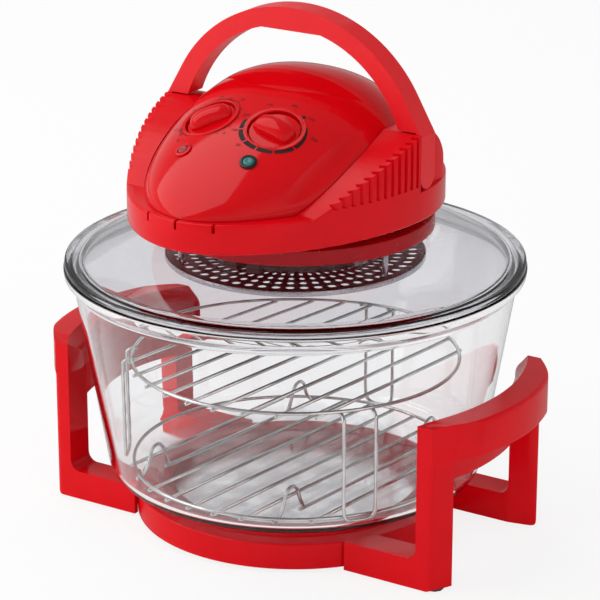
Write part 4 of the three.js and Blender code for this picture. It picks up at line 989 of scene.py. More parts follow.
@dataclass
class Bowl:
    """Glass bowl and the two wire racks that stand in it.

    The humps are given as shares of their length and height, and the leg's line as shares of its
    width, its reach and its height.
    """

    bottom: float = 24.0
    floor_radius: float = 98.0
    heel_radius: float = 138.6
    heel_height: float = 39.1
    wall_radius: float = 162.8
    wall_top: float = 184.5
    rim_radius: float = 170.0
    rim_top: float = 196.5
    rim_width: float = 8.2
    rim_height: float = 5.6
    glass: float = 4.8
    wire_radius: float = 1.4
    rack_radius: float = 121.5
    rack_reach: float = 124.0
    rack_turn: float = -0.105
    weld: float = 1.7
    weld_radius: float = 1.25
    low_height: float = 41.4
    low_pitch: float = 21.2
    hump_length: float = 42.0
    hump_height: float = 21.0
    high_height: float = 122.4
    high_pitch: float = 22.0
    leg_radius: float = 127.5
    leg_foot: float = 42.1
    leg_width: float = 24.0
    leg_angles: tuple[float, ...] = (-36.8, 91.4, -150.0)
    humps: tuple[Pair, ...] = (
        (0, 0), (0.16, 0.06), (0.31, 0.42), (0.38, 0.84), (0.52, 1), (0.66, 0.86), (0.76, 0.4),
        (0.86, 0.04), (1, 0),
    )
    leg_line: tuple[tuple[float, float, float], ...] = (
        (1, 0, 1.012), (1, 0.35, 1.012), (1, 0.85, 0.98), (1, 1, 0.92), (1, 1, 0.5), (1, 1, 0.14),
        (0.9, 1, 0.05), (0.6, 1, 0.01), (0, 1, 0),
    )

    def vessel(self) -> Object:
        """Turns the bowl: dished base, tight heel, leaning wall and flared lip.

        Returns:
            The bowl.
        """
        slope = (self.wall_radius - self.heel_radius) / (self.wall_top - self.heel_height)
        shift = self.glass * math.hypot(1, slope)
        base = (self.heel_height - self.bottom) / (self.heel_radius - self.floor_radius)
        inner_wall = self.wall_radius - shift
        floor = self.bottom + self.glass
        lift = self.glass * math.hypot(1, base)
        heel = self.inner_heel(slope, shift, base, lift)
        line = rounded([
            (0, self.bottom, 0), (self.floor_radius, self.bottom, 40),
            (self.heel_radius, self.heel_height, 13), (self.wall_radius, self.wall_top, 7),
            (self.rim_radius - 0.6, self.rim_top - self.rim_height, 2.4),
            (self.rim_radius, self.rim_top, 1.6), (self.rim_radius - self.rim_width, self.rim_top, 2.2),
            (inner_wall, self.wall_top - 1, 12), (*heel, 8.2),
            (self.floor_radius + 0.4, floor, 36), (0, floor, 0),
        ], 8, False)
        return shade(turn("bowl_glass", line, 256, closed=False), 60)

    def inner_heel(self, slope: float, shift: float, base: float, lift: float) -> Pair:
        """Crossing of the inner wall line and the inner base line.

        Args:
            slope: lean of the wall.
            shift: sideways wall thickness.
            base: rise of the base.
            lift: upright base thickness.

        Returns:
            Radius and height of the inner heel.
        """
        radius, height = self.heel_radius - shift, self.heel_height
        for _ in range(30):
            height = self.heel_height + lift + (radius - self.heel_radius) * base
            radius = self.heel_radius - shift + (height - self.heel_height) * slope
        return radius, height

    def turned_point(self, across: float, along: float, height: float) -> tuple[float, float, float]:
        """Point of a wire, turned with the rack."""
        c, s = math.cos(self.rack_turn), math.sin(self.rack_turn)
        return (across * c - along * s, across * s + along * c, height)

    def rack(self, name: str, pitch: float, height: float, humped: bool) -> list[Object]:
        """Bends the ring and the nine wires of one rack.

        Args:
            name: name for its pieces.
            pitch: spacing of the wires.
            height: height of the wires.
            humped: raises humps on the third wire each side.

        Returns:
            The bent wires.
        """
        ring = circle(self.rack_radius, 128, height + self.wire_radius * self.weld)
        wires = [wire(name, ring, self.wire_radius, True)]
        for index in range(-4, 5):
            offset = index * pitch
            half = math.sqrt(self.rack_reach ** 2 - offset ** 2)
            if humped and abs(index) == 3:
                near = [(half - s * self.hump_length, r * self.hump_height) for s, r in self.humps]
                run = [(-a, r) for a, r in near] + [(a, r) for a, r in reversed(near)]
                points = [self.turned_point(offset, a, height + r) for a, r in run]
                points = eased(points, 4)
            else:
                points = [self.turned_point(offset, side * half, height) for side in (-1, 1)]
            wires.append(wire(name, points, self.wire_radius))
            for side in (-1, 1):
                wires.append(self.weld_spot(name, offset, side, height))
        return wires

    def weld_spot(self, name: str, offset: float, side: int, height: float) -> Object:
        """Makes the weld where a wire crosses the ring: a small flattened blob.

        Args:
            name: name of the new piece.
            offset: distance of the wire from the middle.
            side: 1 or -1, the end of the wire.
            height: height of the wire.

        Returns:
            The weld.
        """
        along = side * math.sqrt(self.rack_radius ** 2 - offset ** 2)
        x, y, z = self.turned_point(offset, along, height + self.wire_radius * self.weld / 2)
        deselect()
        bpy.ops.mesh.primitive_uv_sphere_add(
            segments=10, ring_count=6, radius=self.weld_radius * MM, location=(x * MM, y * MM, z * MM),
        )
        spot = bpy.context.object
        bpy.ops.object.mode_set(mode="EDIT")
        bpy.ops.transform.resize(value=(1.1, 1.1, 0.8))
        bpy.ops.object.mode_set(mode="OBJECT")
        bpy.ops.object.transform_apply()
        bpy.ops.object.shade_smooth()
        spot.name = name
        return spot

    def leg(self, angle: float) -> Object:
        """Bends one looped leg of the high rack.

        Args:
            angle: bearing of the leg in degrees.

        Returns:
            The leg.
        """
        inner = self.rack_radius - 2 * self.wire_radius
        rows = []
        for width, reach, rise in self.leg_line:
            rows.append((inner + (self.leg_radius - inner) * reach, width * self.leg_width / 2,
                         self.leg_foot + (self.high_height - self.leg_foot) * rise))
        points = [(r, -w, z) for r, w, z in rows] + [(r, w, z) for r, w, z in reversed(rows[:-1])]
        c, s = math.cos(math.radians(angle)), math.sin(math.radians(angle))
        placed = [(x * c - y * s, x * s + y * c, z) for x, y, z in points]
        return wire("high_rack_leg", eased(placed, 5), self.wire_radius)

    def build(self) -> None:
        """Builds and dresses the bowl and racks."""
        dress(self.vessel(), Finish.GLASS, "clear_glass", "bowl", "glass_bowl")
        low = join("low_rack_wires", self.rack("low_rack_wires", self.low_pitch, self.low_height, True))
        dress(low, Finish.WIRE, "plated_wire", "low_rack", "low_rack")
        parts = self.rack("high_rack_wires", self.high_pitch, self.high_height, False)
        high = join("high_rack_wires", parts + [self.leg(angle) for angle in self.leg_angles])
        dress(high, Finish.WIRE, "plated_wire", "high_rack", "high_rack")


# Lid

@dataclass
class Lid:
    """Glass lid with its seal and the neck ring that joins it to the head."""

    radius: float = 169.0
    bottom: float = 196.8
    flange_top: float = 202.0
    shoulder: float = 158.0
    hole: float = 92.0
    neck_top: float = 227.4
    glass: float = 4.6
    lip_bottom: float = 191.5
    neck_radius: float = 102.0
    neck_bottom: float = 225.9
    neck_height: float = 11.5
    flange_bottom: float = 229.5
    bend: float = 0.8 * math.pi / 2
    bend_steps: int = 24
    neck_wall: float = 2.5
    neck_inner: float = 85.5
    neck_hole: float = 89.5
    seal_inner: float = 91.7
    seal_outer: float = 98.9
    seal_top: float = 229.2

    def dome(self) -> Object:
        """Turns the lid: flat flange, domed body and locating lip.

        Returns:
            The lid glass.
        """
        run = self.hole - self.shoulder
        climb = (self.neck_top - self.flange_top) / math.sin(self.bend)
        curve = [(self.shoulder + run * t, self.flange_top + climb * math.sin(self.bend * t))
                 for t in [k / self.bend_steps for k in range(self.bend_steps + 1)]]
        under = [(r, z - self.glass) for r, z in curve]
        outer = rounded([
            (self.shoulder, self.bottom, 0.2), (self.radius, self.bottom, 1.6),
            (self.radius, self.flange_top, 2.0), (self.shoulder + 0.01, self.flange_top, 0),
        ], 6, False)
        lip = rounded([
            (self.shoulder - 4.2, self.flange_top - self.glass, 0),
            (self.shoulder - 4.4, self.lip_bottom, 1.0), (self.shoulder - 0.3, self.lip_bottom, 1.0),
            (self.shoulder, self.bottom, 0),
        ], 4, False)
        line = [*outer, *curve[1:], *reversed(under[1:]), *lip[:-1]]
        return shade(turn("lid_glass", line, 256), 50)

    def neck(self) -> Object:
        """Turns the neck ring, a closed channel whose skirt reaches down to the glass.

        Returns:
            The neck ring.
        """
        top, wall, low = self.neck_bottom + self.neck_height, self.neck_wall, self.flange_bottom
        face = self.neck_radius - wall
        line = rounded([
            (self.neck_radius, self.neck_bottom, 0.9), (self.neck_radius, top, 1.2),
            (self.neck_inner, top, 0.4), (self.neck_inner, top - wall, 0.4), (face, top - wall, 0.6),
            (face, low + wall, 0.6), (self.neck_hole, low + wall, 0.5), (self.neck_hole, low, 0.4),
            (face, low, 0.4), (face, self.neck_bottom, 0.3),
        ], 4)
        return shade(turn("neck_moulding", line))

    def seal(self) -> Object:
        """Turns the silicone seal between the glass and the neck.

        Returns:
            The seal.
        """
        return shade(turn("lid_seal", rounded([
            (self.seal_inner, self.seal_top - 1.5, 0.3), (self.seal_outer, self.seal_top - 3, 0.3),
            (self.seal_outer, self.seal_top, 0.4), (self.seal_inner, self.seal_top, 0.4),
        ], 3)))

    def build(self) -> None:
        """Builds and dresses the lid."""
        dress(self.dome(), Finish.LID_GLASS, "clear_glass", body_holding("glass_lid"), "glass_lid")
        dress(self.neck(), Finish.RED_NECK, "red_satin", body_holding("neck_ring"), "neck_ring")
        dress(self.seal(), Finish.SILICONE, "silicone", body_holding("lid_gasket"), "lid_gasket")


# Head

def outline_point(angle: float, side: float, front: float, rear: float, middle: float) -> Pair:
    """Finds a point of the head's plan: a full nose towards -Y and a round back.

    Args:
        angle: bearing of the point in radians.
        side: half of the width.
        front: reach of the nose.
        rear: reach of the back.
        middle: where along Y the two halves meet.

    Returns:
        The point as X and Y.
    """
    c, s = math.cos(angle), math.sin(angle)
    power = NOSE_POWER if s < 0 else 2.0
    reach = front + middle if s < 0 else rear - middle
    across, along = [math.copysign(abs(value) ** (2 / power), value) for value in (c, s)]
    return side * across, middle + reach * along


@dataclass
class Skin:
    """Outer surface of the top cover, shared by the pieces that sit on it."""

    side: float = 90.0
    front: float = 148.0
    rear: float = 92.0
    middle: float = 4.0
    base: float = 268.0
    height: float = 73.5
    front_power: float = 1.355
    side_power: float = NOSE_POWER
    cross_power: float = 2.2
    timer: Pair = (-27, -69.4)
    thermostat: Pair = (27, -69.4)
    power_lens: Pair = (-27, -102.5)
    heat_lens: Pair = (27, -102.5)

    def rise(self, x: float, y: float, wall: float = 0.0) -> float:
        """Works out the height of the smooth skin over its seat.

        Args:
            x: place along X.
            y: place along Y.
            wall: how far the skin is drawn in.

        Returns:
            The height in millimetres.
        """
        side, front, rear = self.side - wall, self.front - wall, self.rear - wall
        forward = y < self.middle
        reach = front + self.middle if forward else rear - self.middle
        away = min(abs(y - self.middle) / reach, 1)
        power = self.front_power if forward else 2.0
        ridge = (self.height - wall) * (1 - away ** power) ** (1 / power)
        side_power = self.side_power if forward else 2.0
        half = side * (1 - away ** side_power) ** (1 / side_power)
        across = min(abs(x) / half, 1) if half > 0 else 1
        return ridge * (1 - across ** self.cross_power) ** (1 / self.cross_power)

    def point(self, x: float, y: float, lift: float = 0.0) -> Vector:
        """Point on the skin, or a little above it along the normal."""
        return Vector((x, y, self.base + self.rise(x, y))) + self.normal(x, y) * lift

    def normal(self, x: float, y: float) -> Vector:
        """Finds the outward direction of the skin.

        Args:
            x: place along X.
            y: place along Y.

        Returns:
            The direction, one long.
        """
        step = 0.3
        slope_x = (self.rise(x + step, y) - self.rise(x - step, y)) / (2 * step)
        slope_y = (self.rise(x, y + step) - self.rise(x, y - step)) / (2 * step)
        return Vector((-slope_x, -slope_y, 1)).normalized()

    def frame(self, x: float, y: float) -> Matrix:
        """Makes a frame on the skin whose Z is the outward direction.

        Args:
            x: place along X.
            y: place along Y.

        Returns:
            The frame, in metres.
        """
        spot = self.point(x, y) * MM
        turned = Vector((0, 0, 1)).rotation_difference(self.normal(x, y))
        return Matrix.Translation(spot) @ turned.to_matrix().to_4x4()

    def blank(self, name: str, wall: float, seat: float, around: int, rings: int) -> Object:
        """Domes a disc to the skin and closes it below.

        Args:
            name: name of the new piece.
            wall: how far it is drawn in.
            seat: height of its flat underside.
            around: points round each ring.
            rings: rings from rim to crown.

        Returns:
            The closed dome.
        """
        deselect()
        bpy.ops.mesh.primitive_circle_add(vertices=around, radius=1, fill_type="NOTHING", location=(0, 0, 0))
        piece = bpy.context.object
        piece.name = name
        bpy.ops.object.mode_set(mode="EDIT")
        bpy.ops.mesh.select_mode(type="EDGE")
        bpy.ops.mesh.select_all(action="SELECT")
        shares = [math.sin(math.pi / 2 * (1 - k / rings)) for k in range(rings)]
        for before, after in zip(shares, shares[1:]):
            bpy.ops.mesh.extrude_region_move(TRANSFORM_OT_translate={"value": (0, 0, 0)})
            ratio = after / before
            bpy.ops.transform.resize(value=(ratio, ratio, 1), center_override=(0, 0, 0))
        bpy.ops.mesh.extrude_region_move(TRANSFORM_OT_translate={"value": (0, 0, 0)})
        bpy.ops.mesh.merge(type="CENTER")
        choose(piece, "EDGE", lambda p: p.length > 0.9999 / MM)
        bpy.ops.mesh.extrude_region_move(TRANSFORM_OT_translate={"value": (0, 0, -1)})
        bpy.ops.mesh.edge_face_add()
        bpy.ops.object.mode_set(mode="OBJECT")
        for vertex in piece.data.vertices:
            ux, uy, low = vertex.co
            share, angle = math.hypot(ux, uy), math.atan2(uy, ux)
            ox, oy = outline_point(angle, self.side - wall, self.front - wall, self.rear - wall, self.middle)
            x, y = ox * share, self.middle + (oy - self.middle) * share
            height = self.base + self.rise(x, y, wall) if share < 0.9999 else seat
            vertex.co = Vector((x, y, seat if low < -0.5 else max(height, seat + 0.02))) * MM
        edit(piece)
        tidy()
        return piece


@dataclass
class Cover:
    """Glossy top cover with its panel, crown, flank scallops and control wells."""

    skin: Skin
    seat: float = 268.3
    wall: float = 2.5
    panel_edge: float = 31.0
    panel_bend: float = 0.0078
    brim: float = 3.8
    recess_half: float = 59.0
    recess_depth: float = 5.4
    recess_round: float = 0.6
    recess_slope: float = 0.8
    recess_sag: float = 0.35
    recess_clear: float = 20.0
    scallop_depth: float = 2.3
    scallop_radius: float = 24.0
    scallop_hug: float = 420.0
    well_radius: float = 19.4
    well_depth: float = 5.1
    bore_radius: float = 3.6
    lens_bore: float = 4.3
    scallop_ends: tuple[Pair, Pair] = ((66.5, -34), (55, -110))
    scallop_middle: Pair = (67.2, -75.5)
    scallop_swing: float = 0.19
    mesh: tuple[int, int] = (320, 88)
    lining_mesh: tuple[int, int] = (96, 30)

    def recess_tool(self, extra: float = 0.0) -> Object:
        """Shapes the solid that cuts the crescent between the panel's edge and the crown's brim.

        Args:
            extra: how much deeper and wider it is, where it makes room for a wall.

        Returns:
            The cutting solid.
        """
        def floor(u: float, v: float) -> Vector:
            """Finds a point of the crescent's floor, deepest at the panel's edge.

            Args:
                u: place across, from -1 to 1.
                v: place from front to rear, from -1 to 1.

            Returns:
                The point.
            """
            x, v = u * self.recess_half, (v + 1) / 2
            front = -self.panel_edge + self.panel_bend * x * x - extra
            rear = -self.brim + 0.3 + extra
            deep = self.recess_depth * max(1 - (x / self.recess_half) ** 2, 0) ** self.recess_round
            sink = deep * (1 - v) ** self.recess_slope * (1 - self.recess_sag * v) + 0.02 + extra
            y = front + (rear - front) * v
            return Vector((x, y, self.skin.base + self.skin.rise(x, y) - sink))

        tool = surface(72, 18, floor)
        tool.name = "recess_tool"
        edit(tool)
        bpy.ops.mesh.extrude_region_move(TRANSFORM_OT_translate={"value": (0, 0, self.recess_clear * MM)})
        tidy()
        return tool

    def scallop_tool(self, side: int) -> Object:
        """Sweeps the long curved bar that cuts one flank scallop.

        Args:
            side: 1 for the right flank, -1 for the left.

        Returns:
            The cutting solid.
        """
        upper, lower = [self.skin.point(*end) for end in self.scallop_ends]
        middle = self.skin.point(*self.scallop_middle)
        along = (upper - lower).normalized()
        outward = self.skin.normal(middle.x, middle.y)
        outward = (outward - along * outward.dot(along)).normalized()
        cross = along.cross(outward)
        centre_line = middle + outward * (self.scallop_radius - self.scallop_depth)
        hub = centre_line - outward * self.scallop_hug
        section = []
        for k in range(72):
            angle = math.tau * k / 72
            away = outward * math.cos(angle) + cross * math.sin(angle)
            section.append(centre_line + self.scallop_radius * away)
        tool = draw("scallop_tool", section)
        bpy.ops.mesh.select_all(action="SELECT")
        bpy.ops.mesh.edge_face_add()
        half = self.scallop_swing
        bpy.ops.object.mode_set(mode="OBJECT")
        at_hub = Matrix.Translation(hub * MM)
        tool.data.transform(at_hub @ Matrix.Rotation(half, 4, cross) @ at_hub.inverted())
        edit(tool)
        bpy.ops.mesh.spin(steps=60, angle=2 * half, center=hub * MM, axis=cross)
        tidy()
        if side < 0:
            twin = mirrored(tool, "scallop_tool_left")
            bpy.data.objects.remove(tool)
            return twin
        return tool

    def well_ring(self, place: Pair, radius: float, tube: float) -> Object:
        """Bends the raised lip that follows the skin round a well.

        Args:
            place: middle of the well.
            radius: radius of the lip.
            tube: half of its thickness.

        Returns:
            The lip.
        """
        frame_here = self.skin.frame(*place)
        right = (frame_here.to_3x3() @ Vector((1, 0, 0))).normalized()
        up = (frame_here.to_3x3() @ Vector((0, 1, 0))).normalized()
        points = []
        for k in range(96):
            angle = math.tau * k / 96
            spot = self.skin.point(*place) + radius * (right * math.cos(angle) + up * math.sin(angle))
            points.append(self.skin.point(spot.x, spot.y, -0.25))
        return wire("well_lip", points, tube, True)

    def shell(self) -> Object:
        """Domes the cover, cuts its forms, hollows it and adds the cups under the wells.

        Returns:
            The cover.
        """
        body = self.skin.blank("cover_moulding", 0, self.seat, *self.mesh)
        body = combine(body, self.recess_tool())
        for side in (1, -1):
            body = combine(body, self.scallop_tool(side))
        lining = self.skin.blank("lining", self.wall, self.seat - 1, *self.lining_mesh)
        body = combine(body, combine(lining, self.recess_tool(self.wall)))
        for place in (self.skin.timer, self.skin.thermostat):
            spot = self.skin.frame(*place)
            cup = post("cup", self.well_radius + self.wall, -self.well_depth - self.wall, -0.7, spot)
            body = combine(body, cup, "UNION")
            body = combine(body, post("well", self.well_radius, -self.well_depth, 12, spot))
            body = combine(body, post("bore", self.bore_radius, -self.well_depth - 6, 0, spot, 48))
        for place in (self.skin.power_lens, self.skin.heat_lens):
            body = combine(body, post("lens_bore", self.lens_bore, -8, 8, self.skin.frame(*place), 48))
        return shade(body, 24)

    def build(self) -> None:
        """Builds and dresses the cover."""
        body = self.shell()
        places = (self.skin.timer, self.skin.thermostat)
        lips = [self.well_ring(place, self.well_radius + 0.9, 1.0) for place in places]
        cover = join("cover_moulding", [body, *lips])
        dress(cover, Finish.RED_GLOSS, "red_gloss", body_holding("top_cover"), "top_cover")


@dataclass
class Marks:
    """Printed dial marks that follow the cover's skin: rings, ticks and numbers.

    Each stretch of the arc is its first and last bearing and its width at both. The off mark is its
    two bearings and its two radii, and a tick is its width in degrees and its outer radius.
    """

    skin: Skin
    lift: float = 0.22
    arc_radius: float = 21.0
    off_mark: tuple[float, float, float, float] = (24, 31, 22.4, 25.2)
    ring: Pair = (21.5, 22.0)
    ring_reach: float = 158
    tick_count: int = 57
    tick_step: float = 5
    first_tick: float = -140
    long_every: int = 5
    short_tick: Pair = (1.0, 23.6)
    long_tick: Pair = (1.6, 24.6)
    strip_step: float = 3
    first_number: float = -150
    degree_step: float = 37
    degree_radius: float = 28.2
    degree_size: float = 3.4
    minute_step: float = 46
    minute_radius: float = 27.4
    minute_size: float = 3.2
    arc: tuple[tuple[float, float, float, float], ...] = (
        (-86, -110, 4.6, 4.2), (-114, -146, 4.1, 3.8), (-150, -176, 3.7, 3.4),
        (180, 152, 3.4, 3.1), (148, 112, 3.0, 2.6), (108, 52, 2.5, 1.9),
    )
    degrees: tuple[str, ...] = ("65", "125", "150", "175", "200", "225", "250")
    minutes: tuple[str, ...] = ("60", "50", "40", "30", "20", "10", "0")

    def spot(self, place: Pair, radius: float, angle: float) -> Vector:
        """Finds a place on the skin by its distance and bearing from a control.

        Args:
            place: the control.
            radius: distance from it.
            angle: bearing in degrees, zero pointing to the rear.

        Returns:
            The place, a little above the skin.
        """
        a = math.radians(angle)
        at = self.skin.frame(*place).to_3x3()
        there = self.skin.point(*place) + at @ Vector((radius * math.sin(a), radius * math.cos(a), 0))
        return self.skin.point(there.x, there.y, self.lift)

    def band(self, place: Pair, start: float, end: float, inner: float, outer: float,
             outer_end: float | None = None) -> Object:
        """Prints a strip between two radii, whose width may change along it.

        Args:
            place: control that it goes round.
            start: bearing of its start.
            end: bearing of its end.
            inner: inner radius.
            outer: outer radius at the start.
            outer_end: outer radius at the end, where it differs.

        Returns:
            The printed strip.
        """
        outer_end = outer if outer_end is None else outer_end

        def point(u: float, v: float) -> Vector:
            """Finds a point of the strip.

            Args:
                u: place along it, from -1 to 1.
                v: -1 on its inner edge, 1 on its outer one.

            Returns:
                The point.
            """
            t = (u + 1) / 2
            radius = outer + (outer_end - outer) * t if v > 0 else inner
            return self.spot(place, radius, start + (end - start) * t)

        strip = surface(max(int(abs(end - start) / self.strip_step), 1), 1, point)
        edit(strip)
        tidy()
        return strip

    def number(self, place: Pair, text: str, radius: float, angle: float, size: float) -> Object:
        """Prints a generic dial number upright on the skin.

        Args:
            place: control that it belongs to.
            text: the number.
            radius: distance from the control.
            angle: bearing from it in degrees.
            size: height of the figures.

        Returns:
            The printed number.
        """
        middle = self.spot(place, radius, angle)
        at = self.skin.frame(middle.x, middle.y).to_3x3()
        deselect()
        bpy.ops.object.text_add(location=(0, 0, 0))
        item = bpy.context.object
        item.data.body = text
        item.data.size = size * MM
        item.data.align_x = "CENTER"
        item.data.align_y = "CENTER"
        item.data.resolution_u = 2
        bpy.ops.object.convert(target="MESH")
        item = bpy.context.object
        for vertex in item.data.vertices:
            there = middle + at @ (vertex.co / MM)
            vertex.co = self.skin.point(there.x, there.y, self.lift) * MM
        return item

    def build(self) -> None:
        """Prints both dials."""
        timer, thermostat, low = self.skin.timer, self.skin.thermostat, self.arc_radius
        marks = [self.band(thermostat, start, end, low, low + wide, low + wide_end)
                 for start, end, wide, wide_end in self.arc]
        marks.append(self.band(thermostat, *self.off_mark))
        for k, text in enumerate(self.degrees):
            angle = self.first_number + k * self.degree_step
            marks.append(self.number(thermostat, text, self.degree_radius, angle, self.degree_size))
        for k in range(self.tick_count):
            angle = self.first_tick + k * self.tick_step
            width, end = self.long_tick if k % self.long_every == 0 else self.short_tick
            marks.append(self.band(timer, angle, angle + width, self.ring[1], end))
        marks.append(self.band(timer, -self.ring_reach, self.ring_reach, *self.ring))
        for k, text in enumerate(self.minutes):
            angle = self.first_number + k * self.minute_step
            marks.append(self.number(timer, text, self.minute_radius, angle, self.minute_size))
        ink = join("dial_marks", marks)
        dress(ink, Finish.INK, "black_plastic", body_holding("top_cover"))


@dataclass
class Controls:
    """Two recessed knobs with broad grip bars and the two lamp lenses.

    The lines of lens and bezel are shares of the lens radius, heights and, for the bezel, rounding.
    """

    skin: Skin
    radius: float = 18.3
    floor: float = -4.5
    height: float = 2.4
    bevel: float = 1.4
    bar_width: float = 14.0
    bar_height: float = 9.0
    bar_share: float = 0.86
    bar_foot: float = 1.6
    bar_sunk: float = 0.8
    bar_root: float = 1.2
    bar_plan: float = 4
    bar_ridge: Pair = (2.6, 2.4)
    bar_flank: Pair = (2.4, 2.2)
    timer_turned: float = 0.62
    thermostat_turned: float = -0.12
    lens_radius: float = 6.2
    lens_line: tuple[Pair, ...] = (
        (0, 0.3), (0.66, 0.3), (0.66, 0.7), (0.62, 1.2), (0.52, 1.8), (0.36, 2.1), (0.3, 1.9), (0, 1.9),
    )
    bezel_line: tuple[tuple[float, float, float], ...] = (
        (0.68, 0.3, 0.1), (1, 0.3, 0.1), (1, 1.0, 0.5), (0.68, 1.7, 0.4),
    )

    def knob(self, name: str) -> Object:
        """Turns the knob's disc and joins its rounded grip bar, about its own axis.

        Args:
            name: name of the new piece.

        Returns:
            The knob.
        """
        rim = self.floor + self.height
        disc = turn(name, rounded([
            (0, self.floor, 0), (self.radius, self.floor, 0.4), (self.radius, rim, self.bevel), (0, rim, 0),
        ], 6, False), 96, closed=False)
        base = rim - self.bar_sunk

        def top(u: float, v: float) -> Vector:
            """Finds a point of the bar's rounded top.

            Args:
                u: place along the bar, from -1 to 1.
                v: place across it, from -1 to 1.

            Returns:
                The point.
            """
            reach, side = math.sin(u * math.pi / 2), math.sin(v * math.pi / 2)
            plan = (1 - abs(reach) ** self.bar_plan) ** (1 / self.bar_plan)
            half = (self.bar_width / 2 + self.bar_foot) * plan
            ridge = (1 - abs(reach) ** self.bar_ridge[0]) ** (1 / self.bar_ridge[1])
            flank = (1 - abs(side) ** self.bar_flank[0]) ** (1 / self.bar_flank[1])
            return Vector((self.radius * self.bar_share * reach, half * side,
                           base + (self.bar_height + self.bar_sunk) * ridge * flank))

        bar = surface(56, 28, top)
        edit(bar)
        bpy.ops.mesh.remove_doubles(threshold=0.01 * MM)
        bpy.ops.mesh.select_all(action="SELECT")
        choose(bar, "EDGE", lambda p: p.z < base + 0.01)
        bpy.ops.mesh.extrude_region_move(TRANSFORM_OT_translate={"value": (0, 0, -self.bar_root * MM)})
        bpy.ops.mesh.edge_face_add()
        tidy()
        return shade(combine(disc, bar, "UNION"), 40)

    def lens(self, name: str) -> Object:
        """Turns one cabochon lens about its own axis."""
        line = [(self.lens_radius * share, height) for share, height in self.lens_line]
        return shade(turn(name, line, 64, closed=False), 40)

    def bezel(self, name: str) -> Object:
        """Turns the raised ring round a lens."""
        corners = [(self.lens_radius * share, height, edge) for share, height, edge in self.bezel_line]
        return shade(turn(name, rounded(corners, 4), 64), 40)

    def build(self) -> None:
        """Builds and dresses knobs, lenses and their rings."""
        skin = self.skin
        knob = self.knob("timer_knob_moulding")
        twin = copy_of(knob, "thermostat_knob_moulding")
        for piece, place, turned, node in (
            (knob, skin.timer, self.timer_turned, "timer_knob"),
            (twin, skin.thermostat, self.thermostat_turned, "thermostat_knob"),
        ):
            piece.data.transform(skin.frame(*place) @ Matrix.Rotation(turned, 4, "Z"))
            dress(piece, Finish.RED_GLOSS, "red_gloss", body_holding(node), node)
        for spot, node, finish, slot, ring_finish, ring_slot in (
            (skin.power_lens, "power_lens", Finish.RED_LENS, "red_lens", Finish.RED_GLOSS, "red_gloss"),
            (skin.heat_lens, "heat_lens", Finish.TEAL_LENS, "green_lens", Finish.BEZEL, "black_plastic"),
        ):
            place = skin.frame(*spot)
            cap = self.lens(node + "_cap")
            cap.data.transform(place)
            dress(cap, finish, slot, body_holding(node), node)
            ring = self.bezel(node + "_ring")
            ring.data.transform(place)
            dress(ring, ring_finish, ring_slot, body_holding(node))


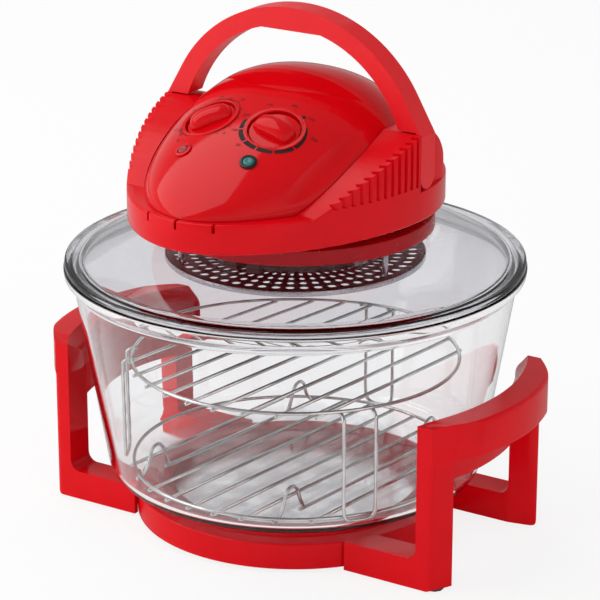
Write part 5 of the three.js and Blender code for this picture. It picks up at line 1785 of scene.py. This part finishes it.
@dataclass
class Housing:
    """Lower housing: band, grooved shoulders, hubs, vents and spigot.

    The deck is the plan of the opening under the cover, given as outline_point takes it.
    """

    skin: Skin
    side: float = 109.0
    front: float = 153.0
    bottom: float = 246.2
    top: float = 268.0
    wall: float = 2.5
    hub: float = 32.0
    hub_inner: float = 88.0
    hub_outer: float = 103.6
    handle_front: float = -6.8
    hub_sweep: float = 1.16
    shoulder_top: float = 309.5
    shoulder_fall: float = 0.3
    shoulder_bend: float = 0.0016
    shoulder_share: float = 0.72
    groove_count: int = 12
    groove_first: float = 85.0
    groove_last: float = 11.0
    groove_width: float = 3.1
    groove_depth: float = 2.5
    groove_run: float = 6.2
    groove_bottom: float = 272.0
    rib_count: int = 72
    rib_reach: Pair = (87.5, 94.0)
    rib_bottom: float = 238.2
    spigot_outer: float = 88.0
    spigot_inner: float = 85.5
    spigot_bottom: float = 237.7
    spigot_top: float = 249.0
    deck: tuple[float, float, float, float] = (85.0, 143.0, 87.0, 4.0)
    vent_count: int = 12
    vent_reach: Pair = (69.0, 83.0)
    vent_half: float = 1.2
    floor_hole: float = 18.0
    shaft_hole: float = 4.3
    slot_step: float = 27.0
    slot_half: float = 1.1
    slot_height: float = 6.0
    slot_share: float = 0.94
    inlet_width: Pair = (-14.3, 14.3)
    inlet_reach: Pair = (104.0, 110.0)
    inlet_heights: Pair = (249.5, 265.1)

    def plan(self, inset: float, count: int = 240) -> Line:
        """Plan of the band, drawn in."""
        side, front = self.side - inset, self.front - inset
        return [outline_point(math.tau * i / count, side, front, side, 0) for i in range(count)]

    def shoulder_height(self, y: float) -> float:
        """Height of the shoulder's top line."""
        run = self.handle_front - y
        return self.shoulder_top - self.shoulder_fall * run - self.shoulder_bend * run * run

    def shoulder_line(self, wall: float) -> Line:
        """Draws the side view of a shoulder.

        Args:
            wall: how far it is drawn in.

        Returns:
            The side view as Y and Z.
        """
        base = self.top - self.wall
        front, rear = wall - self.front * self.shoulder_share, self.handle_front - wall
        line = [(front, base)]
        for k in range(17):
            y = front + (rear - front) * k / 16
            line.append((y, max(self.shoulder_height(y) - wall, base + 0.6)))
        sweep = math.pi / 2 * self.hub_sweep
        for k in range(1, 19):
            angle = math.pi / 2 - k / 18 * sweep
            radius = self.hub - wall
            line.append((PIVOT_Y + radius * math.cos(angle), PIVOT_Z + radius * math.sin(angle)))
        line.append((PIVOT_Y + self.hub - wall, base))
        return line

    def block(self, name: str, x: Pair, y: Pair, z: Pair) -> Object:
        """Square-cornered solid between two corners, as a tool."""
        return prism(name, [(x[0], y[0]), (x[1], y[0]), (x[1], y[1]), (x[0], y[1])], "Z", z[0], z[1])

    def shoulder(self) -> Object:
        """Makes the right shoulder with its hub pocket and grooves.

        Returns:
            The right shoulder.
        """
        base = self.top - self.wall
        body = prism("shoulder", self.shoulder_line(0), "X", self.hub_inner / 2, self.side + 1)
        plan = prism("outer_plan", self.plan(0), "Z", base, self.shoulder_top + 4)
        body = combine(body, plan, "INTERSECT")
        pocket = self.block("pocket", (self.hub_outer, self.side + 1), (self.handle_front, self.side),
                            (self.top, self.shoulder_top + 4))
        body = merge_flat(combine(body, pocket))
        soften(body, 1.6, 42, 3)
        hollow = prism("hollow", self.shoulder_line(self.wall), "X", self.hub_inner / 2, self.side + 1)
        plan = prism("inner_plan", self.plan(self.wall + 1.4), "Z", self.bottom, self.shoulder_top + 1)
        pocket = self.block("pocket_wall", (self.hub_outer - self.wall, self.side + 1),
                            (self.handle_front - self.wall, self.side), (base - 1, self.shoulder_top + 4))
        body = combine(body, combine(combine(hollow, plan, "INTERSECT"), pocket))
        body = combine(body, self.skin.blank("cover_room", -1.2, base - 1, 160, 40))
        for i in range(self.groove_count):
            body = combine(body, self.groove(i))
        return body

    def groove(self, index: int) -> Object:
        """Makes a flute square to the band's outline, whose floor runs out over the shoulder's top.

        Args:
            index: number of the groove, from the front.

        Returns:
            The cutting solid.
        """
        y = -(self.groove_first + (self.groove_last - self.groove_first) * index / (self.groove_count - 1))
        away = (-y / self.front) ** NOSE_POWER
        x = self.side * (1 - away) ** (1 / NOSE_POWER)
        slope = (x / y) * away / (1 - away)
        turned = math.atan(-slope)
        half, top = self.groove_width / 2, self.shoulder_height(y)
        low, deep = self.groove_bottom, -self.groove_depth
        side = [(3, low), (deep, low + 1), (deep, top - 2.6), (-self.groove_run, top + 0.3),
                (-self.groove_run, top + 7), (3, top + 7)]
        tool = prism("flute", side, "Y", -half, half)
        tool.data.transform(Matrix.Translation(Vector((x, y, 0)) * MM) @ Matrix.Rotation(turned, 4, "Z"))
        return tool

    def shell(self) -> Object:
        """Makes the band with its deck, slots, vents and rear inlet opening, and joins the rest.

        Returns:
            The housing without its ribs.
        """
        body = prism("housing_moulding", self.plan(0), "Z", self.bottom, self.top)
        soften(body, 1.5, 60, 4)
        room = prism("room", self.plan(self.wall), "Z", self.bottom + self.wall, self.top - self.wall)
        body = combine(body, room)
        spigot = turn("spigot", [
            (self.spigot_outer, self.spigot_bottom), (self.spigot_outer, self.spigot_top),
            (self.spigot_inner, self.spigot_top), (self.spigot_inner, self.spigot_bottom),
        ])
        body = combine(body, spigot, "UNION")
        right = self.shoulder()
        left = mirrored(right, "left_shoulder")
        body = combine(body, right, "UNION")
        body = combine(body, left, "UNION")
        deck = [outline_point(math.tau * i / 160, *self.deck) for i in range(160)]
        body = combine(body, prism("opening", deck, "Z", self.top - self.wall - 1, self.top + 1))
        through = (self.bottom - 1, self.bottom + self.wall + 1)
        for i in range(self.vent_count):
            vent = self.block("vent", self.vent_reach, (-self.vent_half, self.vent_half), through)
            vent.data.transform(Matrix.Rotation(math.tau * i / self.vent_count, 4, "Z"))
            body = combine(body, vent)
        body = combine(body, post("floor_hole", self.floor_hole, *through, Matrix.Identity(4)))
        body = combine(body, post("shaft_hole", self.shaft_hole, -self.side, self.side, handle_axis(), 48))
        for step in (-self.slot_step, 0, self.slot_step):
            slot = self.block("slot", (step - self.slot_half, step + self.slot_half),
                              (-self.front - 1, -self.front * self.slot_share),
                              (self.top - self.slot_height, self.top + 1))
            body = combine(body, slot)
        inlet = self.block("inlet_hole", self.inlet_width, self.inlet_reach, self.inlet_heights)
        return shade(combine(body, inlet), 30)

    def ribs(self) -> list[Object]:
        """Copies one stiffening rib round the collar between band and neck.

        Returns:
            All the ribs.
        """
        first = self.block("collar_rib", self.rib_reach, (-1, 1), (self.rib_bottom, self.bottom + 0.6))
        copies = [first]
        for i in range(1, self.rib_count):
            rib = copy_of(first, "collar_rib")
            rib.data.transform(Matrix.Rotation(math.tau * i / self.rib_count, 4, "Z"))
            copies.append(rib)
        return copies

    def build(self) -> None:
        """Builds and dresses the housing."""
        shell = join("housing_moulding", [self.shell(), *self.ribs()])
        dress(shell, Finish.RED_SATIN, "red_satin", body_holding("lower_housing"), "lower_housing")


@dataclass
class Handle:
    """Carrying handle: a round bow with thin cheeks over the hubs."""

    outer: float = 108.9
    inner: float = 95.3
    grip: float = 92.0
    depth: float = 19.0
    cheek_out: float = 108.7
    cheek_in: float = 103.9
    hub: float = 32.6
    straight_below: float = 30.0
    edge: float = 2.6
    stub_radius: float = 4.0
    stub_end: float = 93.0
    cam_width: float = 4.4
    cam_height: float = 6.0

    def outline(self) -> Line:
        """Draws the front view of the bow: round outside, flat under the grip, straight towards the hubs.

        Returns:
            The front view as X and Z.
        """
        tangent = math.radians(self.straight_below)
        start = (self.outer * math.cos(tangent), self.outer * math.sin(tangent))
        drop = (self.cheek_out - start[0]) / math.tan(tangent)
        low = math.asin(self.hub / self.inner)
        flat = math.pi / 2 - math.acos(self.grip / self.inner)
        line = [(self.cheek_out, 0.0), (self.cheek_out, start[1] - drop)]
        line += [(self.outer * math.cos(a), self.outer * math.sin(a))
                 for a in [tangent + k / 64 * (math.pi - 2 * tangent) for k in range(65)]]
        line += [(-self.cheek_out, start[1] - drop), (-self.cheek_out, 0.0), (-self.cheek_in, 0.0),
                 (-self.cheek_in, self.hub)]
        line += [(self.inner * math.cos(a), self.inner * math.sin(a))
                 for a in [math.pi - low - k / 28 * (flat - low) for k in range(29)]]
        line += [(self.inner * math.cos(a), self.inner * math.sin(a))
                 for a in [flat - k / 28 * (flat - low) for k in range(29)]]
        line += [(self.cheek_in, self.hub), (self.cheek_in, 0.0)]
        return [(x, z + PIVOT_Z) for x, z in line]

    def bow(self) -> Object:
        """Extrudes the bow, rounds its edges and adds cheeks and stub pins.

        Returns:
            The handle.
        """
        half = self.depth / 2
        body = prism("handle_moulding", self.outline(), "Y", PIVOT_Y - half, PIVOT_Y + half)
        across = handle_axis()
        body = combine(body, post("hub_swing", self.hub, -self.cheek_in, self.cheek_in, across, 128))
        for side in (1, -1):
            low, high = sorted((side * self.cheek_in, side * self.cheek_out))
            body = combine(body, post("cheek", half, low, high, across, 96), "UNION")
        soften(merge_flat(body), self.edge, 50, 5)
        for side in (1, -1):
            low, high = sorted((side * self.stub_end, side * (self.cheek_in + 0.3)))
            body = combine(body, post("stub", self.stub_radius, low, high, across, 48), "UNION")
        top = self.cam_height
        line = [(PIVOT_Y + y, PIVOT_Z + z) for y, z in ((-2, 0), (2, 0), (1, top), (-1, top))]
        cam = prism("cam", line, "X", self.stub_end, self.stub_end + self.cam_width)
        return shade(combine(body, cam, "UNION"), 28)

    def build(self) -> None:
        """Builds and dresses the handle."""
        # The handle's red is painted lighter, as painted light
        dress(self.bow(), Finish.RED_HANDLE, "red_satin", "handle", "carry_handle")


# Heating and mains

@dataclass
class HeatingUnit:
    """Perforated guard under the lid; fan, lamp and motor keep their CAD shapes."""

    radii: tuple[float, ...] = (90.5, 80.0, 69.5, 59.0, 48.5, 38.0, 27.5, 17.0)
    around: int = 54
    floor: float = 203.0
    rim: float = 94.0
    top: float = 202.6
    web: float = 1.5
    sheet: float = 0.8
    ring_inner: float = 94.2
    ring_outer: float = 94.9
    ring_below: float = 2.6
    ring_above: float = 1.2

    def guard(self) -> Object:
        """Insets and pierces rings of faces, then thickens the sheet, whose rim turns down.

        Returns:
            The guard.
        """
        deselect()
        bpy.ops.mesh.primitive_circle_add(
            vertices=self.around, radius=self.rim * MM, fill_type="NOTHING", location=(0, 0, self.top * MM),
        )
        sheet = bpy.context.object
        sheet.name = "guard_sheet"
        bpy.ops.object.transform_apply()
        edit(sheet)
        bpy.ops.mesh.select_mode(type="EDGE")
        bpy.ops.mesh.select_all(action="SELECT")
        steps = [(self.rim - 0.5, self.floor + 0.4), (self.rim - 1.4, self.floor + 0.5),
                 *[(r, self.floor + 0.5) for r in self.radii], (6.0, self.floor + 0.5)]
        radius, height = self.rim, self.top
        for new_radius, new_height in steps:
            step = (0, 0, (new_height - height) * MM)
            bpy.ops.mesh.extrude_region_move(TRANSFORM_OT_translate={"value": step})
            ratio = new_radius / radius
            bpy.ops.transform.resize(value=(ratio, ratio, 1), center_override=(0, 0, new_height * MM))
            radius, height = new_radius, new_height
        bpy.ops.mesh.edge_face_add()
        bpy.ops.mesh.select_all(action="SELECT")
        bpy.ops.mesh.remove_doubles(threshold=0.01 * MM)
        bpy.ops.mesh.normals_make_consistent(inside=False)
        inner, outer, high = self.radii[-1], self.radii[0] - 0.5, self.floor + 0.9
        choose(sheet, "FACE", lambda p: inner < math.hypot(p.x, p.y) < outer and p.z < high)
        bpy.ops.mesh.inset(thickness=self.web * MM, use_individual=True)
        bpy.ops.mesh.delete(type="FACE")
        bpy.ops.object.mode_set(mode="OBJECT")
        for kind, settings in (("SUBSURF", {"levels": 2, "render_levels": 2}),
                               ("SOLIDIFY", {"thickness": self.sheet * MM, "offset": 0.0})):
            only(sheet)
            bpy.ops.object.modifier_add(type=kind)
            change = sheet.modifiers[-1]
            for name, value in settings.items():
                setattr(change, name, value)
            bpy.ops.object.modifier_apply(modifier=change.name)
        return shade(sheet, 40)

    def build(self) -> None:
        """Builds and dresses the guard and the bright ring it sits in."""
        dress(self.guard(), Finish.GUARD, "dark_steel", body_holding("fan_guard"), "fan_guard")
        low, high = self.top - self.ring_below, self.top + self.ring_above
        ring = turn("guard_ring", rounded([
            (self.ring_inner, low, 0.3), (self.ring_outer, low, 0.3), (self.ring_outer, high, 0.3),
            (self.ring_inner, high, 0.3),
        ], 3))
        dress(shade(ring), Finish.STEEL, "bright_steel", body_holding("fan_guard"))


CARRIED = {
    Finish.RUBBER: ("rear_right_foot", "rear_left_foot", "front_left_foot", "front_right_foot"),
    Finish.STEEL: ("rear_right_screw", "rear_left_screw", "front_left_screw", "front_right_screw",
                   "right_handle_clip", "left_handle_clip", "timer_spindle", "thermostat_spindle",
                   "guard_stud_1", "guard_stud_2", "guard_stud_3", "heat_shield", "motor_shaft",
                   "right_motor_bolt", "left_motor_bolt", "lower_bearing_bridge", "upper_bearing_bridge"),
    Finish.GUARD: ("right_lamp_clip", "left_lamp_clip"),
    Finish.BLACK: ("lid_switch", "mains_inlet", "cooling_fan"),
    Finish.CERAMIC: ("switch_plunger", "timer_body", "power_lamp", "heat_lamp", "terminal_block"),
    # The lamp caps are painted dark as shade
    Finish.BROWNED: ("right_lamp_cap", "left_lamp_cap"),
    Finish.ALUMINIUM: ("thermostat_body", "motor_rotor"),
    Finish.QUARTZ: ("halogen_tube",),
    Finish.LAMINATION: ("motor_stator", "convection_fan"),
    Finish.COPPER: ("motor_coil",),
    Finish.BRASS: ("inlet_pin_1", "inlet_pin_2", "inlet_pin_3"),
}


def dress_carried() -> None:
    """Gives every CAD node that stays its finish."""
    for finish, names in CARRIED.items():
        for name in names:
            node = frame["nodes"][name]
            for slot in node.material_slots:
                slot.material = material_of(finish)
            if not node.material_slots:
                node.data.materials.append(material_of(finish))
        LOG.info("%s: %d nodes kept", finish.value.name, len(names))


# Studio

@dataclass
class Studio:
    """Camera, lamps, floor and background, in metres.

    Each lamp is its name, place, width and power, and whether the oven's gloss mirrors it.
    """

    eye: tuple[float, float, float] = (1.0369, -1.6261, 0.8513)
    target: tuple[float, float, float] = (0.0, 0.0, 0.16768)
    lens: float = 166.55
    shift_x: float = 0.00763
    shift_y: float = -0.00547
    lamps: tuple[tuple[str, tuple[float, float, float], float, float, bool], ...] = (
        ("key", (-1.3, -0.6, 2.1), 2.8, 29.0, True),
        ("front", (-1.5, -1.3, 0.7), 1.4, 14.0, False),
        ("right", (1.9, -0.9, 1.0), 1.6, 10.0, False),
        ("rear", (-1.1, 1.3, 1.6), 1.8, 9.0, False),
    )
    world_light: float = 0.4
    wall_height: float = 0.6
    wall_gloss: Pair = (0.5, 0.2)
    floor_radius: float = 9.0
    floor_drop: float = 0.0002
    floor_glow: float = 0.83
    floor_tone: float = 0.97
    floor_gloss: float = 0.5

    def camera(self) -> None:
        """Places the camera of the photograph."""
        data = bpy.data.cameras.new("camera")
        data.lens, data.sensor_width = self.lens, 36.0
        data.shift_x, data.shift_y = self.shift_x, self.shift_y
        data.clip_start, data.clip_end = 0.05, 60
        eye = bpy.data.objects.new("camera", data)
        eye.location = self.eye
        eye.rotation_euler = (Vector(self.target) - Vector(self.eye)).to_track_quat("-Z", "Y").to_euler()
        bpy.context.scene.collection.objects.link(eye)
        bpy.context.scene.camera = eye

    def lights(self) -> None:
        """Hangs soft area lamps round the oven."""
        for name, place, size, power, mirrored_light in self.lamps:
            data = bpy.data.lights.new(name, "AREA")
            data.shape, data.size, data.energy = "SQUARE", size, power
            lamp = bpy.data.objects.new(name, data)
            lamp.location = place
            lamp.visible_glossy = mirrored_light
            lamp.rotation_euler = (Vector((0, 0, 0.2)) - Vector(place)).to_track_quat("-Z", "Y").to_euler()
            bpy.context.scene.collection.objects.link(lamp)

    def rays(self, tree: NodeTree) -> tuple[Node, Node]:
        """Tells which rays reach a surface.

        Args:
            tree: node tree to add to.

        Returns:
            The node of all ray kinds, and one that is 1 for what the camera sees, also through glass.
        """
        rays = add_node(tree, "ShaderNodeLightPath")
        seen = add_node(tree, "ShaderNodeMath", {
            0: rays.outputs["Is Camera Ray"], 1: rays.outputs["Is Transmission Ray"],
        }, operation="MAXIMUM")
        return rays, seen

    def world(self) -> None:
        """Surrounds the oven: white where seen, softer for light, darker overhead in its gloss."""
        world = bpy.data.worlds.new("studio")
        bpy.context.scene.world = world
        world.use_nodes = True
        tree = world.node_tree
        tree.nodes.clear()
        rays, seen = self.rays(tree)
        level = add_node(tree, "ShaderNodeMapRange", {
            "Value": seen.outputs[0], "To Min": self.world_light, "To Max": 1.0,
        })
        place = add_node(tree, "ShaderNodeTexCoord")
        height = add_node(tree, "ShaderNodeSeparateXYZ", {"Vector": place.outputs["Generated"]})
        wall = add_node(tree, "ShaderNodeMapRange", {
            "Value": height.outputs["Z"], "From Min": 0.0, "From Max": self.wall_height,
            "To Min": self.wall_gloss[0], "To Max": self.wall_gloss[1],
        })
        glossy = add_node(tree, "ShaderNodeMix", {
            "Factor": rays.outputs["Is Glossy Ray"], "A": level.outputs[0], "B": wall.outputs[0],
        }, data_type="FLOAT")
        back = add_node(tree, "ShaderNodeBackground", {"Color": (1, 1, 1, 1), "Strength": glossy.outputs[0]})
        add_node(tree, "ShaderNodeOutputWorld", {"Surface": back.outputs[0]})

    def floor(self) -> None:
        """Lays a pale floor that keeps the oven's shadow."""
        deselect()
        bpy.ops.mesh.primitive_circle_add(
            vertices=96, radius=self.floor_radius, fill_type="NGON", location=(0, 0, -self.floor_drop),
        )
        floor = bpy.context.object
        floor.name = "studio_floor"
        material = bpy.data.materials.new("pale_floor")
        material.use_nodes = True
        tree = material.node_tree
        tree.nodes.clear()
        rays, seen = self.rays(tree)
        share = add_node(tree, "ShaderNodeMath", {
            0: seen.outputs[0], 1: self.floor_glow,
        }, operation="MULTIPLY")
        mirrored_ray = add_node(tree, "ShaderNodeMath", {
            0: rays.outputs["Is Glossy Ray"], 1: seen.outputs[0],
        }, operation="SUBTRACT", use_clamp=True)
        tone = add_node(tree, "ShaderNodeMapRange", {
            "Value": mirrored_ray.outputs[0], "To Min": self.floor_tone, "To Max": self.floor_gloss,
        })
        plain = add_node(tree, "ShaderNodeBsdfDiffuse", {"Color": tone.outputs[0]})
        glow = add_node(tree, "ShaderNodeEmission", {"Color": (1, 1, 1, 1), "Strength": 1.0})
        mix = add_node(tree, "ShaderNodeMixShader", {
            0: share.outputs[0], 1: plain.outputs[0], 2: glow.outputs[0],
        })
        add_node(tree, "ShaderNodeOutputMaterial", {"Surface": mix.outputs[0]})
        floor.data.materials.append(material)

    def build(self) -> None:
        """Sets up the whole studio."""
        bpy.context.scene.view_settings.view_transform = "Standard"
        self.camera()
        self.lights()
        self.world()
        self.floor()


def main() -> None:
    """Builds the oven piece by piece and reports each."""
    logging.basicConfig(level=logging.INFO, format="%(message)s")
    skin = Skin()
    Studio().build()
    Stand().build()
    Bowl().build()
    Lid().build()
    Housing(skin).build()
    Cover(skin).build()
    Marks(skin).build()
    Controls(skin).build()
    Handle().build()
    HeatingUnit().build()
    dress_carried()
    deselect()


if __name__ == "__main__":
    main()
